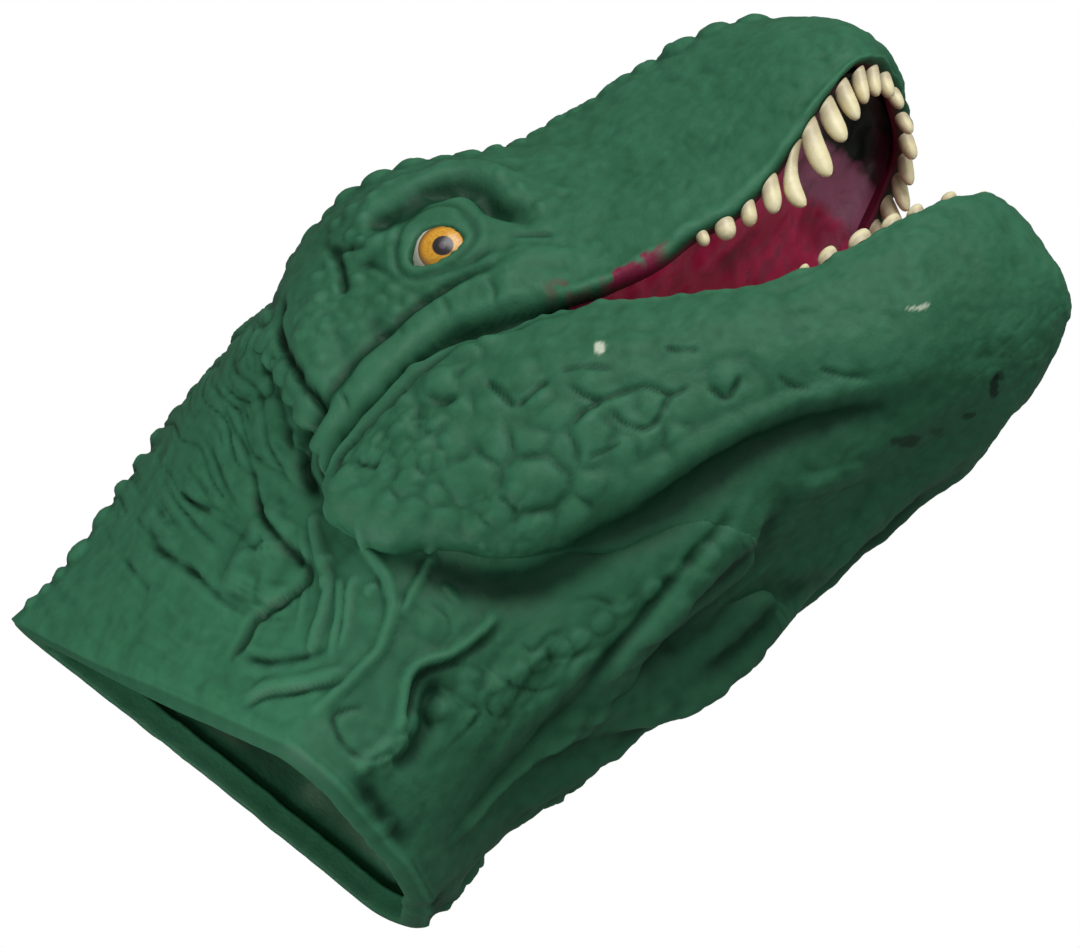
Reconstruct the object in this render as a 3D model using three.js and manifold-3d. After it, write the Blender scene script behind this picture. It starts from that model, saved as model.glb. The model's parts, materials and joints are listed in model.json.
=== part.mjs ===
import * as THREE from "three";
import Module from "manifold-3d";

// Dinosaur head hand puppet in soft rubber, millimetres.
// The cut rim of the neck lies on Z = 0, +X is the throat side and +Y the animal's left.

// Driving dimensions
const RIM_DEPTH = 99;        // rim opening outline, nape to throat
const RIM_WIDTH = 71;        // rim outline, side to side
const NECK_HEIGHT = 97;      // rim to the jaw hinge
const HINGE_X = 15.5;        // hinge ahead of the rim's middle
const SKULL_LENGTH = 78.3;   // hinge to the snout's tip
const SKULL_TILT = 25;       // skull axis, degrees forward of the neck's
const JAW_LENGTH = 87.6;     // hinge to the chin's tip
const JAW_TILT = 45;         // jaw axis, degrees forward of the neck's
const HEAD_WIDTH = 93.6;     // across the jaw bulges
const WALL = 3.4;            // rubber skin
const LINING = 2.4;          // mouth lining
const HEM_HEIGHT = 6;        // thick band inside the rim
const HEM_EXTRA = 1.6;       // how much thicker the band is
const GAP = 0.3;             // parting between neighbours
const HUB_RADIUS = 12;       // round joint of the jaw at the mouth corner
const PART_ANGLE = 108;      // throat parting line, degrees about the hinge
const OPEN_GAP = 6;          // free angle behind the jaw
const FOLD_REACH = 20;       // throat fold ahead of the parting, degrees
const FOLD_BACK = 13;        // throat fold behind the parting, degrees
const ROLL_RADIUS = 5;       // rolled fold at the back of the mouth
const EYE_RADIUS = 8;
const EYE_S = -13.7;         // eye centre along the skull axis
const EYE_T = 23.1;          // eye centre above the hinge line
const EYE_Y = 31;            // eye centre from the middle plane
const EYE_BACK = 33.6;       // flat back of the eye from the middle plane
const TOOTH_LIFT = 0.25;     // extra gap under each tooth's root
const HINGE_ABOVE_NECK = 5;  // hinge above the last neck row of the table
const MOUTH_CUT = 14;        // how far the hollow of a skin runs out past its lip
const HOLLOW_END = 8;        // how far the skull's hollow runs out behind it
const EDGE_CLEAR = 1.1;      // lining's edge inside the skin's inner face
const FLOOR_VAULT = 6;       // deepest drop of the mouth floor below its edges
const ROLL_WIDTH = 66;       // length of the rolled fold across the mouth
const FOLD_WALL = 2;         // throat fold's own thickness
const SKULL_CLEARANCE = 12;  // angle that the jaw's room starts ahead of straight up

// Half sections, rim upward: height, then points from nape to throat as (x, half width)
const NECK = [
  [0, [-49.5, 0, -47, 3, -26, 10.5, -8, 18, 9, 26.5, 19, 31.5, 31, 35.5, 42, 28, 48, 13, 49.5, 0]],
  [14, [-48.6, 0, -47, 4, -28, 14, -9, 22, 8, 29, 19, 33.5, 31, 35, 41, 26.5, 48, 13, 49, 0]],
  [32, [-49.6, 0, -48, 5.5, -32, 18, -12, 27, 6, 33, 19, 36, 32, 34.5, 44, 26, 52, 14, 50, 0]],
  [50, [-50.6, 0, -49, 7, -36, 22, -16, 32, 4, 37, 19, 38.5, 34, 36, 48.5, 26, 58, 15, 55, 0]],
  [66, [-50.4, 0, -49, 8, -37, 25, -18, 35, 4, 39, 20, 40, 38, 37.5, 54, 27, 64, 15, 60.5, 0]],
  [80, [-47, 0, -45, 9, -34, 24, -17, 33, 4, 36, 20, 37, 38, 36, 56, 27, 67, 14, 64, 0]],
  [92, [-38, 0, -36, 8, -28, 20, -14, 28, 4, 30, 18, 31, 32, 30, 46, 24, 56, 12, 55, 0]],
];
// Skull: station along its axis, then points from crown to lip as (height, half width),
// and three more that close the form across the palate
const SKULL = [
  [-52, [46, 0, 44, 9, 28, 28, 8, 37, -10, 40, -22, 36, -26, 18, -26, 0]],
  [-46, [49.5, 0, 46, 13, 31, 30.5, 11, 40, -8, 42.5, -18, 38, -20, 18, -20, 0]],
  [-36, [49, 0, 52, 17, 36, 32, 16, 39.5, -6, 42.5, -14, 39, -15, 18, -15, 0]],
  [-24, [46, 0, 52.5, 23.5, 35, 36, 14, 39, -3, 41.5, -8, 38, -8, 18, -8, 0]],
  [-12, [43, 0, 50, 26.5, 32, 36.5, 11, 38.5, -2, 40, -5, 37, -4, 18, -4, 0]],
  [0, [43, 0, 47, 24.5, 28.5, 33, 11, 36.5, 0, 38, -1, 35, 4, 18, 4, 0]],
  [8, [46.5, 0, 48.5, 16.5, 30.5, 28.5, 13, 33.5, -0.5, 36.5, -0.5, 33, 5, 17, 5, 0]],
  [20, [50, 0, 51.5, 12, 34.5, 23, 16, 30, 0.3, 34.5, 0.8, 31.5, 6.4, 16, 7.4, 0]],
  [28, [50.8, 0, 52, 11.8, 35, 22.3, 17.5, 28.8, 2.7, 32.8, 3.4, 29.8, 9, 15, 10.4, 0]],
  [36, [51.5, 0, 52.5, 11.5, 35.5, 21.5, 19, 27.5, 3.7, 31, 4.8, 28, 11, 14, 13, 0]],
  [50, [51.5, 0, 53, 10.5, 38, 20.5, 24, 25.5, 11, 28, 12, 25, 18, 12, 20, 0]],
  [62, [49, 0, 50, 10, 38.5, 19.5, 28, 24, 19.5, 25, 20.5, 22, 26, 9, 27, 0]],
  [68, [46, 0, 47, 9.5, 38, 18, 29.6, 22.7, 23.3, 23, 24, 20, 28.4, 9, 29.6, 0]],
  [72, [43.5, 0, 44, 8.5, 37, 17, 31, 21, 25.3, 20.2, 26, 17, 29.6, 8, 31, 0]],
  [74.5, [41, 0, 41.2, 7.5, 36.2, 14.2, 31.6, 17, 26.6, 15.6, 27.2, 12.5, 29.2, 6, 30.4, 0]],
  [76.2, [39, 0, 39, 6, 35.6, 10.8, 31.8, 12.2, 27.8, 6.5, 28.2, 5, 28.8, 2.4, 29, 0]],
  [76.6, [38.3, 0, 38.2, 5.5, 35.2, 9.6, 31.8, 10.6, 28.2, 0.4, 28.2, 0.3, 28.2, 0.2, 28.2, 0]],
  [77.6, [36.5, 0, 36.3, 4, 34.4, 6.5, 32, 6.8, 29.6, 0.3, 29.6, 0.2, 29.6, 0.1, 29.6, 0]],
  [78.3, [34.5, 0, 34.4, 1.2, 33.6, 2.2, 32.6, 2.2, 31.8, 0.3, 31.8, 0.2, 31.8, 0.1, 31.8, 0]],
];
// Lower jaw: station along its axis, then points from lip to the middle of the underside
const JAW = [
  [-47, [29, 38, 29.5, 39, 31, 40, 33, 39.6, 33.5, 37, 33, 30, 32, 0]],
  [-44, [24, 38, 25, 41, 31, 43.5, 35, 42, 37, 37, 35, 20, 33, 0]],
  [-38, [17, 40, 21, 43.5, 31, 45, 39, 43, 43, 37, 40, 20, 36, 0]],
  [-28, [10, 41, 14, 44.5, 28, 46.8, 41, 44.5, 48, 37, 44, 20, 40, 0]],
  [-14, [4, 40, 9, 43.5, 26, 46.8, 44, 44, 54, 35, 48, 20, 44, 0]],
  [0, [2, 37.5, 6, 41, 22, 45.5, 42, 42, 53, 32, 50, 20, 47, 0]],
  [12, [1, 36, 5, 39, 18, 43, 36, 40, 45, 30, 47.5, 16, 47, 0]],
  [25, [1.8, 34.5, 5, 36.5, 14, 39.5, 28, 36.5, 36, 28, 42, 15, 41.5, 0]],
  [33, [2, 32.8, 4.8, 34.8, 12, 37.2, 23.8, 34.8, 32.2, 26.8, 37.8, 13.8, 37, 0]],
  [40, [0.4, 31, 3.2, 33, 10, 35, 20, 33, 28.5, 25.5, 34, 12.5, 33, 0]],
  [54, [-7, 26, -3.4, 28.5, 4.2, 30, 14, 28, 21.5, 21.5, 26.5, 11, 26, 0]],
  [65, [-14, 21, -10, 24, -2, 26, 9, 24.5, 16.5, 19, 20.5, 10, 20.5, 0]],
  [72, [-18.2, 16.5, -14.2, 19.5, -6.5, 21.6, 3.6, 20, 12, 15, 15.6, 7.5, 16, 0]],
  [76, [-20, 11.5, -16.8, 16, -8.2, 18.6, 1.6, 17.4, 9.4, 12.8, 12.8, 6.5, 13.2, 0]],
  [78.6, [-20.8, 5.5, -17.8, 12.6, -8.8, 16, 0.2, 14.8, 7.4, 11, 10.8, 5.6, 11.2, 0]],
  [79.4, [-20.9, 0.4, -17.8, 10.8, -8.8, 14.8, -0.4, 13.8, 6.8, 10.2, 10, 5.2, 10.4, 0]],
  [83, [-16, 0.4, -13.4, 8, -7, 11, -1, 10.4, 3.6, 7.4, 6.2, 3.8, 6.6, 0]],
  [86, [-9.4, 0.3, -8, 4.8, -5, 6.6, -2, 6.4, 0.4, 4.4, 2, 2.2, 2.2, 0]],
  [87.6, [-4.4, 0.3, -4.1, 1.2, -3.4, 1.8, -2.6, 1.8, -1.9, 1.2, -1.6, 0.6, -1.6, 0]],
];
// Cast ridges: station, place among the section's points, half width, height
const BROW = [
  [-33.5, 1.78, 3, 0.8], [-28, 1.68, 5.6, 2.8], [-17.5, 1.66, 6.4, 3.2], [-6.5, 1.54, 6.4, 3.2],
  [0.2, 1.62, 5.8, 3], [3, 2, 4.6, 2.2], [4.8, 2.3, 2.6, 0.8],
];
const CHEEK_FOLD = [
  [3, 3.22, 2, 0.8], [-3, 3.14, 3.2, 2.8], [-13, 3.13, 3.6, 3.4], [-24, 3.38, 3.6, 3.4],
  [-36, 3.57, 3.5, 3.2], [-45, 3.74, 3, 2], [-50, 3.84, 2, 0.8],
];
const THROAT_RIDGE = [
  [85, 7.7, 3, 0.8], [78, 7.68, 4.4, 2.8], [64, 7.85, 4.6, 3], [52, 8.36, 4.6, 3],
  [42, 8.95, 4.4, 2.8], [27, 9, 4, 2], [14, 9, 3, 0.8],
];
// Cast knobs: station, place, radius, height; the nape's stand on the middle line
const NAPE_KNOBS = [
  [6, 0, 3.2, 1.3], [13.5, 0, 3.2, 1.3], [21, 0, 3.6, 1.5], [29, 0, 3.6, 1.5], [37, 0, 3.6, 1.5],
  [45, 0, 3.6, 1.4], [53, 0, 3.6, 1.19], [61, 0, 3.6, 1.19],
];
const CREST_KNOBS = [
  [-36.5, 1.75, 3.4, 2.2], [-29.5, 1.3, 3.4, 1.8], [-22, 1.22, 4.2, 2.2], [-10, 1.34, 4.4, 2],
  [13, 1.1, 2.8, 1.2], [22, 1.08, 2.8, 1.2], [31, 1, 2.8, 1.2], [41, 1, 3.2, 1.1],
];
// Upper teeth of one side: distance round the lip from the front, length, width, backward lean
const UPPER_TEETH = [
  [69.4, 2.4, 2.4, 0],
  [64.6, 3.8, 3.6, 0.05],
  [59.2, 4.4, 3.4, 0.1],
  [52.8, 6.6, 4.7, 0.16],
  [45, 11.2, 4.6, 0.25],
  [38.8, 10.4, 5.4, 0.05],
  [32.4, 8.2, 4.6, -0.02],
  [26.8, 7.6, 4, 0.02],
  [21.6, 6.6, 3.4, 0.2],
  [16.6, 5.4, 3, 0.24],
  [11, 4.8, 3.2, 0.1],
  [4.6, 4.2, 2.8, 0],
];
// Lower teeth of one side: distance round the lip from the front, length, width
const LOWER_TEETH = [
  [52, 1.8, 2.2],
  [46.6, 3.2, 4],
  [39.4, 3.2, 4.8],
  [32, 3, 4.2],
  [26.4, 2.6, 3.6],
  [18.6, 2.4, 3.2],
  [9.6, 2.4, 3],
];

// The tables are drawn at the real size; a changed driving size stretches what it names
const lastRow = (table) => table[table.length - 1];
const heights = (row) => row[1].filter((_, k) => k % 2 === 0);
const halfWidths = (row) => row[1].filter((_, k) => k % 2 === 1);
const range = (values) => Math.max(...values) - Math.min(...values);
const neckX = RIM_DEPTH / range(heights(NECK[0]));
const neckY = RIM_WIDTH / (2 * Math.max(...halfWidths(NECK[0])));
const neckZ = NECK_HEIGHT / (lastRow(NECK)[0] + HINGE_ABOVE_NECK);
const headY = HEAD_WIDTH / (2 * Math.max(...JAW.flatMap(halfWidths)));
const skullS = SKULL_LENGTH / lastRow(SKULL)[0];
const jawA = JAW_LENGTH / lastRow(JAW)[0];
const rad = (deg) => (deg * Math.PI) / 180;

const wasm = await Module();
wasm.setup();

// Cubic through table rows with finite-difference slopes, flat where the trend turns
function rowAt(table, x) {
  const n = table.length;
  const xs = table.map((r) => r[0]);
  const v = Math.min(Math.max(x, xs[0]), xs[n - 1]);
  let i = 0;
  while (i < n - 2 && v >= xs[i + 1]) i += 1;
  const h = xs[i + 1] - xs[i];
  const t = (v - xs[i]) / h;
  const slope = (k, c) => {
    const d = (j) => (table[j + 1][1][c] - table[j][1][c]) / (xs[j + 1] - xs[j]);
    if (k === 0) return d(0);
    if (k === n - 1) return d(n - 2);
    const before = d(k - 1);
    const after = d(k);
    if (before * after <= 0) return 0;
    const wa = xs[k + 1] - xs[k];
    const wb = xs[k] - xs[k - 1];
    return (before * wa + after * wb) / (wa + wb);
  };
  return table[i][1].map((p, c) => {
    const q = table[i + 1][1][c];
    return (2 * t ** 3 - 3 * t ** 2 + 1) * p + (t ** 3 - 2 * t ** 2 + t) * h * slope(i, c)
      + (3 * t ** 2 - 2 * t ** 3) * q + (t ** 3 - t ** 2) * h * slope(i + 1, c);
  });
}

// Smooth half section through the row's points, n points, from index k0 to k1
function half(table, x, n, k0, k1, mirrorStart) {
  const row = rowAt(table, x);
  const pts = [];
  for (let k = 0; k < row.length; k += 2) pts.push([row[k], row[k + 1]]);
  const last = pts.length - 1;
  const at = (k) => {
    if (k < 0 && mirrorStart) return [pts[1][0], -pts[1][1]];
    if (k < 0) return [2 * pts[0][0] - pts[1][0], 2 * pts[0][1] - pts[1][1]];
    if (k > last) return [pts[last - 1][0], -pts[last - 1][1]];
    return pts[k];
  };
  const out = [];
  for (let j = 0; j < n; j += 1) {
    const u = k0 + ((k1 - k0) * j) / (n - 1);
    const i = Math.min(Math.floor(u), k1 - 1);
    const t = u - i;
    const [p0, p1, p2, p3] = [at(i - 1), at(i), at(i + 1), at(i + 2)];
    out.push([0, 1].map((c) => 0.5 * (2 * p1[c] + (p2[c] - p0[c]) * t
      + (2 * p0[c] - 5 * p1[c] + 4 * p2[c] - p3[c]) * t ** 2
      + (3 * p1[c] - p0[c] - 3 * p2[c] + p3[c]) * t ** 3)));
  }
  return out.map(([u, y]) => [u, Math.max(y, 0)]);
}

// Frames: neck straight up, skull and jaw about the hinge
const neckAt = (z, x, y) => [x * neckX, y * neckY, z * neckZ];
function fromHinge(run, rise, y, tilt) {
  const [c, s] = [Math.cos(rad(tilt)), Math.sin(rad(tilt))];
  return [HINGE_X + run * s - rise * c, y * headY, NECK_HEIGHT + run * c + rise * s];
}
const skullAt = (s, t, y) => fromHinge(s * skullS, t, y, SKULL_TILT);
const jawAt = (a, b, y) => fromHinge(a * jawA, -b, y, JAW_TILT);

function bodyFrom(points, faces) {
  const mesh = new wasm.Mesh({
    numProp: 3,
    vertProperties: new Float32Array(points.flat()),
    triVerts: new Uint32Array(faces.flat()),
  });
  return new wasm.Manifold(mesh);
}

// Closed body between two grids of points; "around" joins the last column to the first
function shell(outer, inner, around) {
  const rows = outer.length;
  const cols = outer[0].length;
  const points = [...outer.flat(), ...inner.flat()];
  const o = (i, j) => i * cols + (j % cols);
  const n = (i, j) => rows * cols + i * cols + (j % cols);
  const faces = [];
  const quad = (a, b, c, d) => faces.push([a, b, c], [a, c, d]);
  const spans = around ? cols : cols - 1;
  for (let i = 0; i < rows - 1; i += 1) {
    for (let j = 0; j < spans; j += 1) {
      quad(o(i, j), o(i + 1, j), o(i + 1, j + 1), o(i, j + 1));
      quad(n(i, j), n(i, j + 1), n(i + 1, j + 1), n(i + 1, j));
    }
    if (!around) {
      quad(o(i, 0), n(i, 0), n(i + 1, 0), o(i + 1, 0));
      quad(o(i, cols - 1), o(i + 1, cols - 1), n(i + 1, cols - 1), n(i, cols - 1));
    }
  }
  for (let j = 0; j < spans; j += 1) {
    quad(o(0, j), o(0, j + 1), n(0, j + 1), n(0, j));
    quad(o(rows - 1, j), n(rows - 1, j), n(rows - 1, j + 1), o(rows - 1, j + 1));
  }
  const flip = signedVolume(points, faces) < 0;
  return bodyFrom(points, flip ? faces.map(([a, b, c]) => [a, c, b]) : faces);
}

function signedVolume(points, faces) {
  let sum = 0;
  faces.forEach(([a, b, c]) => {
    const [p, q, r] = [points[a], points[b], points[c]];
    sum += p[0] * (q[1] * r[2] - q[2] * r[1]);
    sum -= p[1] * (q[0] * r[2] - q[2] * r[0]);
    sum += p[2] * (q[0] * r[1] - q[1] * r[0]);
  });
  return sum / 6;
}

// Solid form from half sections, closed across the middle plane
const LEAST_HALF = 0.02;
function solid(halves, place) {
  const grid = (side) => halves.map(({ x, shift = 0, pts }) => (
    pts.map(([u, y]) => place(x + shift, u, side * Math.max(y, LEAST_HALF)))));
  return shell(grid(-1), grid(1), false);
}

// Half section moved outward by an amount, in its own plane
function grow(pts, amount) {
  const last = pts.length - 1;
  const sign = pts[last][0] > pts[0][0] ? 1 : -1;
  const onMiddle = pts[0][1] < 1;
  return pts.map((p, j) => {
    let before = pts[Math.max(j - 1, 0)];
    let after = pts[Math.min(j + 1, last)];
    if (j === 0 && onMiddle) before = [pts[1][0], -pts[1][1]];
    if (j === last) after = [pts[last - 1][0], -pts[last - 1][1]];
    const along = [after[0] - before[0], after[1] - before[1]];
    const len = Math.hypot(along[0], along[1]) || 1;
    const out = [-sign * along[1] / len, sign * along[0] / len];
    return [p[0] + out[0] * amount, Math.max(p[1] + out[1] * amount, 0)];
  });
}

const spread = (from, to, n) => Array.from({ length: n }, (_, i) => from + ((to - from) * i) / (n - 1));
const mirrored = (pts) => [...pts.map(([u, y]) => [u, -y]).reverse(), ...pts.slice(1)];

// Places about the hinge, angles from +Z toward +X, and a prism over a ring sector there
const aboutHinge = (r, deg, y) => [
  HINGE_X + r * Math.sin(rad(deg)), y, NECK_HEIGHT + r * Math.cos(rad(deg))];
function sector(r0, r1, from, to, halfWidth) {
  const steps = spread(from, to, 16);
  const face = (r) => [-halfWidth, halfWidth].map((y) => steps.map((deg) => aboutHinge(r, deg, y)));
  return shell(face(r1), face(r0), false);
}

// Neck
const HEM_TOP = HEM_HEIGHT / neckZ;
const NECK_MIDDLE = 15;
const HEM_STEP = 1.2;
const neckStations = [0, HEM_TOP, HEM_TOP + HEM_STEP, 14, 24, 34, 44, 54, 64, 72, 80, 86, 92];
const neckHalf = (z) => half(NECK, z, 17, 0, 9, true);
const ring = (pts) => [...pts.map(([u, y]) => [u, -y]), ...pts.slice(1, -1).reverse()];
function neckInner(z) {
  const wall = WALL + (z <= HEM_TOP + 0.01 ? HEM_EXTRA : 0);
  const k = 1 - wall / (RIM_WIDTH / 2);
  return neckHalf(z).map(([x, y]) => [NECK_MIDDLE + (x - NECK_MIDDLE) * k, y * k]);
}
const neckOuterGrid = neckStations.map((z) => ring(neckHalf(z)).map(([x, y]) => neckAt(z, x, y)));
const neckInnerGrid = neckStations.map((z) => ring(neckInner(z)).map(([x, y]) => neckAt(z, x, y)));
const neckShell = shell(neckOuterGrid, neckInnerGrid, true);
const neckHollow = solid(neckStations.map((z) => ({ x: z, shift: z ? 0 : -2, pts: neckInner(z) })), neckAt);

// Section drawn in by the wall toward a base height
function inward(pts, base, wall) {
  const far = pts.reduce((m, p) => Math.max(m, Math.abs(p[0] - base)), 0);
  const wide = pts.reduce((m, p) => Math.max(m, p[1]), 0);
  const ku = Math.max(1 - wall / far, 0.4);
  const ky = Math.max(1 - wall / wide, 0.4);
  return pts.map(([u, y]) => [base + (u - base) * ku, y * ky]);
}
const ease = (x, from, to) => {
  const t = Math.min(Math.max((x - from) / (to - from), 0), 1);
  return t * t * (3 - 2 * t);
};
// Base height: the lip line, and the section's middle where the form closes at its tip
function baseHeight(pts, lip, closing) {
  const low = Math.min(...pts.map((p) => p[0]));
  const high = Math.max(...pts.map((p) => p[0]));
  return lip + ((low + high) / 2 - lip) * closing;
}

// Skull
const skullStations = [
  -50, -43, -36, -28, -20, -12, -4, 4, 12, 20,
  29, 38, 47, 55, 62, 68, 72, 74.5, 76.2, 76.6, 77.6, 78.3];
const SKULL_REAR = skullStations[0];
const SKULL_TIP = skullStations[skullStations.length - 1];
const crownToLip = (s) => half(SKULL, s, 11, 0, 4, true);
const lipOf = (pts) => pts[pts.length - 1];
const skullWhole = (s) => half(SKULL, s, 20, 0, 7, true);
const skullBack = (s) => SKULL_REAR + (s - SKULL_REAR) * (1 - WALL / (SKULL_TIP - SKULL_REAR));
const skullInner = (s) => {
  const pts = crownToLip(s);
  return inward(pts, baseHeight(pts, lipOf(pts)[0], ease(s, 74, 77)), WALL);
};
const skullForm = solid(skullStations.map((s) => ({ x: s, pts: crownToLip(s) })), skullAt);
const skullHollow = solid(skullStations.map((s, i) => {
  const pts = skullInner(s);
  const [t, y] = lipOf(pts);
  return { x: skullBack(s), shift: i ? 0 : -HOLLOW_END, pts: [...pts, [t - MOUTH_CUT, y]] };
}), skullAt);
const skullSolid = (amount) => solid(skullStations.map((s, i) => {
  const end = i === 0 ? -1 : i === skullStations.length - 1 ? 1 : 0;
  return { x: s, shift: end * amount, pts: grow(skullWhole(s), amount) };
}), skullAt);
const skullShell = skullForm.subtract(skullHollow);

// Lower jaw with the bulges behind it, drawn as one form and parted about the hinge
const jawStations = [
  -47, -46, -44, -41, -38, -33, -28, -21, -14, -7, 0, 8, 16, 25,
  34, 43, 52, 60, 66, 70, 74, 77, 78.6, 79.4, 83, 86, 87.6];
const JAW_REAR = jawStations[0];
const JAW_TIP = jawStations[jawStations.length - 1];
const lipToChin = (a) => half(JAW, a, 12, 0, 6, false);
const JAW_RUN = JAW_TIP - JAW_REAR;
const jawBack = (a) => JAW_REAR + WALL + ((a - JAW_REAR) * (JAW_RUN - 2 * WALL)) / JAW_RUN;
const jawInner = (a) => {
  const pts = lipToChin(a);
  return inward(pts, baseHeight(pts, pts[0][0], ease(a, 76, 80)), WALL);
};
const jawForm = solid(jawStations.map((a) => ({ x: a, pts: lipToChin(a) })), jawAt);
const jawHollow = solid(jawStations.map((a) => {
  const pts = jawInner(a);
  const [b, y] = pts[0];
  return { x: jawBack(a), pts: [[b - MOUTH_CUT, y], ...pts] };
}), jawAt);
const jawSolid = (amount) => solid(jawStations.map((a, i) => {
  const end = i === 0 ? -1 : i === jawStations.length - 1 ? 1 : 0;
  return { x: a, shift: end * amount, pts: grow(lipToChin(a), amount) };
}), jawAt);
const jawShell = jawForm.subtract(jawHollow);

const BEYOND = SKULL_LENGTH + JAW_LENGTH;
const jawRoom = sector(HUB_RADIUS, BEYOND, -SKULL_CLEARANCE, PART_ANGLE, HEAD_WIDTH);
const headRoom = sector(HUB_RADIUS - GAP, BEYOND, -SKULL_CLEARANCE - OPEN_GAP, PART_ANGLE + OPEN_GAP, HEAD_WIDTH);
const grownSkull = skullSolid(GAP);
const grownJaw = jawSolid(GAP);

// Mouth lining: a sheet between the lips, vaulted away from them
const EDGE_SINK = 0.6;
const vault = (edge, depth) => mirrored(spread(0, 1, 7).map((f) => [
  edge[0] + EDGE_SINK + depth * Math.sqrt(1 - f ** 3), (edge[1] - EDGE_CLEAR) * f]));
const thicker = (row, amount) => row.map(([u, y]) => [u + amount, y]);
const PALATE_STATIONS = [3, 9, 15, 22, 29, 36, 43, 50, 56, 62, 67, 71, 73.5, 75.2, 76];
const FLOOR_STATIONS = [7, 12, 18, 25, 32, 40, 47, 54, 60, 65, 69, 72, 75, 77.4, 78.6];
const palateRows = PALATE_STATIONS.map((s) => {
  const edge = lipOf(skullInner(s));
  const roof = rowAt(SKULL, s)[14];
  return { x: skullBack(s), row: vault(edge, Math.max(roof - edge[0], 1)) };
});
const floorRows = FLOOR_STATIONS.map((a) => {
  const edge = jawInner(a)[0];
  return { x: jawBack(a), row: vault(edge, Math.min(FLOOR_VAULT, edge[1] * 0.3)) };
});
const sheet = (rows, place) => shell(
  rows.map(({ x, row }) => row.map(([u, y]) => place(x, u, y))),
  rows.map(({ x, row }) => thicker(row, LINING).map(([u, y]) => place(x, u, y))),
  false,
);
const turned = [90, 0, 0];
const roll = wasm.Manifold.cylinder(ROLL_WIDTH * headY, ROLL_RADIUS, ROLL_RADIUS, 20, true)
  .rotate(turned).translate([HINGE_X, 0, NECK_HEIGHT]);

// Throat fold: a band turned about the hinge, inside both skins
const FOLD_PROFILE = [[44.6, 0], [44.2, 9], [42.4, 17], [38.2, 24], [31.2, 29.4], [22.5, 32]];
const foldRow = (deg, k) => mirrored(FOLD_PROFILE).map(([r, y]) => aboutHinge(r * k, deg, y * k * headY));
const foldAngles = spread(PART_ANGLE - FOLD_REACH, PART_ANGLE + FOLD_BACK, 9);
const FOLD_THIN = 1 - FOLD_WALL / FOLD_PROFILE[0][0];

// Eyes: a ball cut off behind the skin
const eyeCentre = (side) => {
  const [x, , z] = skullAt(EYE_S, EYE_T, 0);
  return [x, side * EYE_Y * headY, z];
};
const ball = (radius, side) => wasm.Manifold.sphere(radius, 28).translate(eyeCentre(side));
const behindSkin = (side) => wasm.Manifold.cube([60, 40, 60], true)
  .translate([eyeCentre(side)[0], side * (EYE_BACK * headY - 20), eyeCentre(side)[2]]);
const eye = (side) => ball(EYE_RADIUS, side).subtract(behindSkin(side));

// Teeth: cones on the lip's edge, sections parallel to the edge
const TOOTH_SIDES = 6;
const TOOTH_THICK = 1.05;    // thickest part, as a share of the wall
const TOOTH_BOW = 0.8;       // bow of a leaning tooth
const TOOTH_TAPER = [[0, 0.88], [0.28, 1], [0.7, 0.66], [1, 0.12]];
const sub = (a, b) => a.map((v, i) => v - b[i]);
const add = (a, b, k) => a.map((v, i) => v + b[i] * k);
const dot = (a, b) => a.reduce((t, v, i) => t + v * b[i], 0);
const cross = (a, b) => [a[1] * b[2] - a[2] * b[1], a[2] * b[0] - a[0] * b[2], a[0] * b[1] - a[1] * b[0]];
const unit = (a) => a.map((v) => v / Math.hypot(...a));
const turns = (n) => spread(0, 2 * Math.PI * (1 - 1 / n), n);
function loft(rings) {
  const sides = rings[0].length;
  const middle = (ring) => ring.reduce((m, p) => add(m, p, 1 / sides), [0, 0, 0]);
  const last = rings.length - 1;
  const points = [...rings.flat(), middle(rings[0]), middle(rings[last])];
  const at = (i, j) => i * sides + (j % sides);
  const [rootMiddle, tipMiddle] = [rings.length * sides, rings.length * sides + 1];
  const faces = [];
  for (let j = 0; j < sides; j += 1) {
    for (let i = 0; i < last; i += 1) {
      faces.push([at(i, j), at(i, j + 1), at(i + 1, j + 1)], [at(i, j), at(i + 1, j + 1), at(i + 1, j)]);
    }
    faces.push([rootMiddle, at(0, j + 1), at(0, j)], [tipMiddle, at(last, j), at(last, j + 1)]);
  }
  const flip = signedVolume(points, faces) < 0;
  return bodyFrom(points, flip ? faces.map(([a, b, c]) => [a, c, b]) : faces);
}
function lipCurve(pointAt, from, to) {
  const points = spread(from, to, 400).map(pointAt);
  let run = 0;
  const runs = points.map((p, i) => {
    if (i) run += Math.hypot(...sub(p, points[i - 1]));
    return run;
  });
  return (distance) => {
    let i = 1;
    while (i < points.length - 1 && runs[i] + Math.abs(points[0][1]) < distance) i += 1;
    const [before, after] = [points[Math.max(i - 3, 0)], points[Math.min(i + 3, points.length - 1)]];
    return { here: points[i], along: unit(sub(after, before)) };
  };
}
function tooth(lip, down, back, [distance, length, width, lean]) {
  const { here, along } = lip(distance);
  const face = unit(add(down, along, -dot(down, along)));
  const across = cross(face, along);
  const axis = unit(add(down, back, lean));
  const thick = Math.min(width, WALL * TOOTH_THICK);
  const base = add(here, face, GAP + TOOTH_LIFT);
  const rings = TOOTH_TAPER.map(([h, k]) => {
    const bend = add(add(base, axis, h * length), back, lean * length * h * (1 - h) * TOOTH_BOW);
    return turns(TOOTH_SIDES).map((q) => add(
      add(bend, along, (Math.cos(q) * k * width) / 2), across, (Math.sin(q) * k * thick) / 2));
  });
  return loft(rings);
}
const upperLip = lipCurve((s) => {
  const mid = (s + skullBack(s)) / 2;
  return skullAt(mid, lipOf(crownToLip(mid))[0], -(lipOf(crownToLip(s))[1] + lipOf(skullInner(s))[1]) / 2);
}, 76.59, 12);
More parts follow.
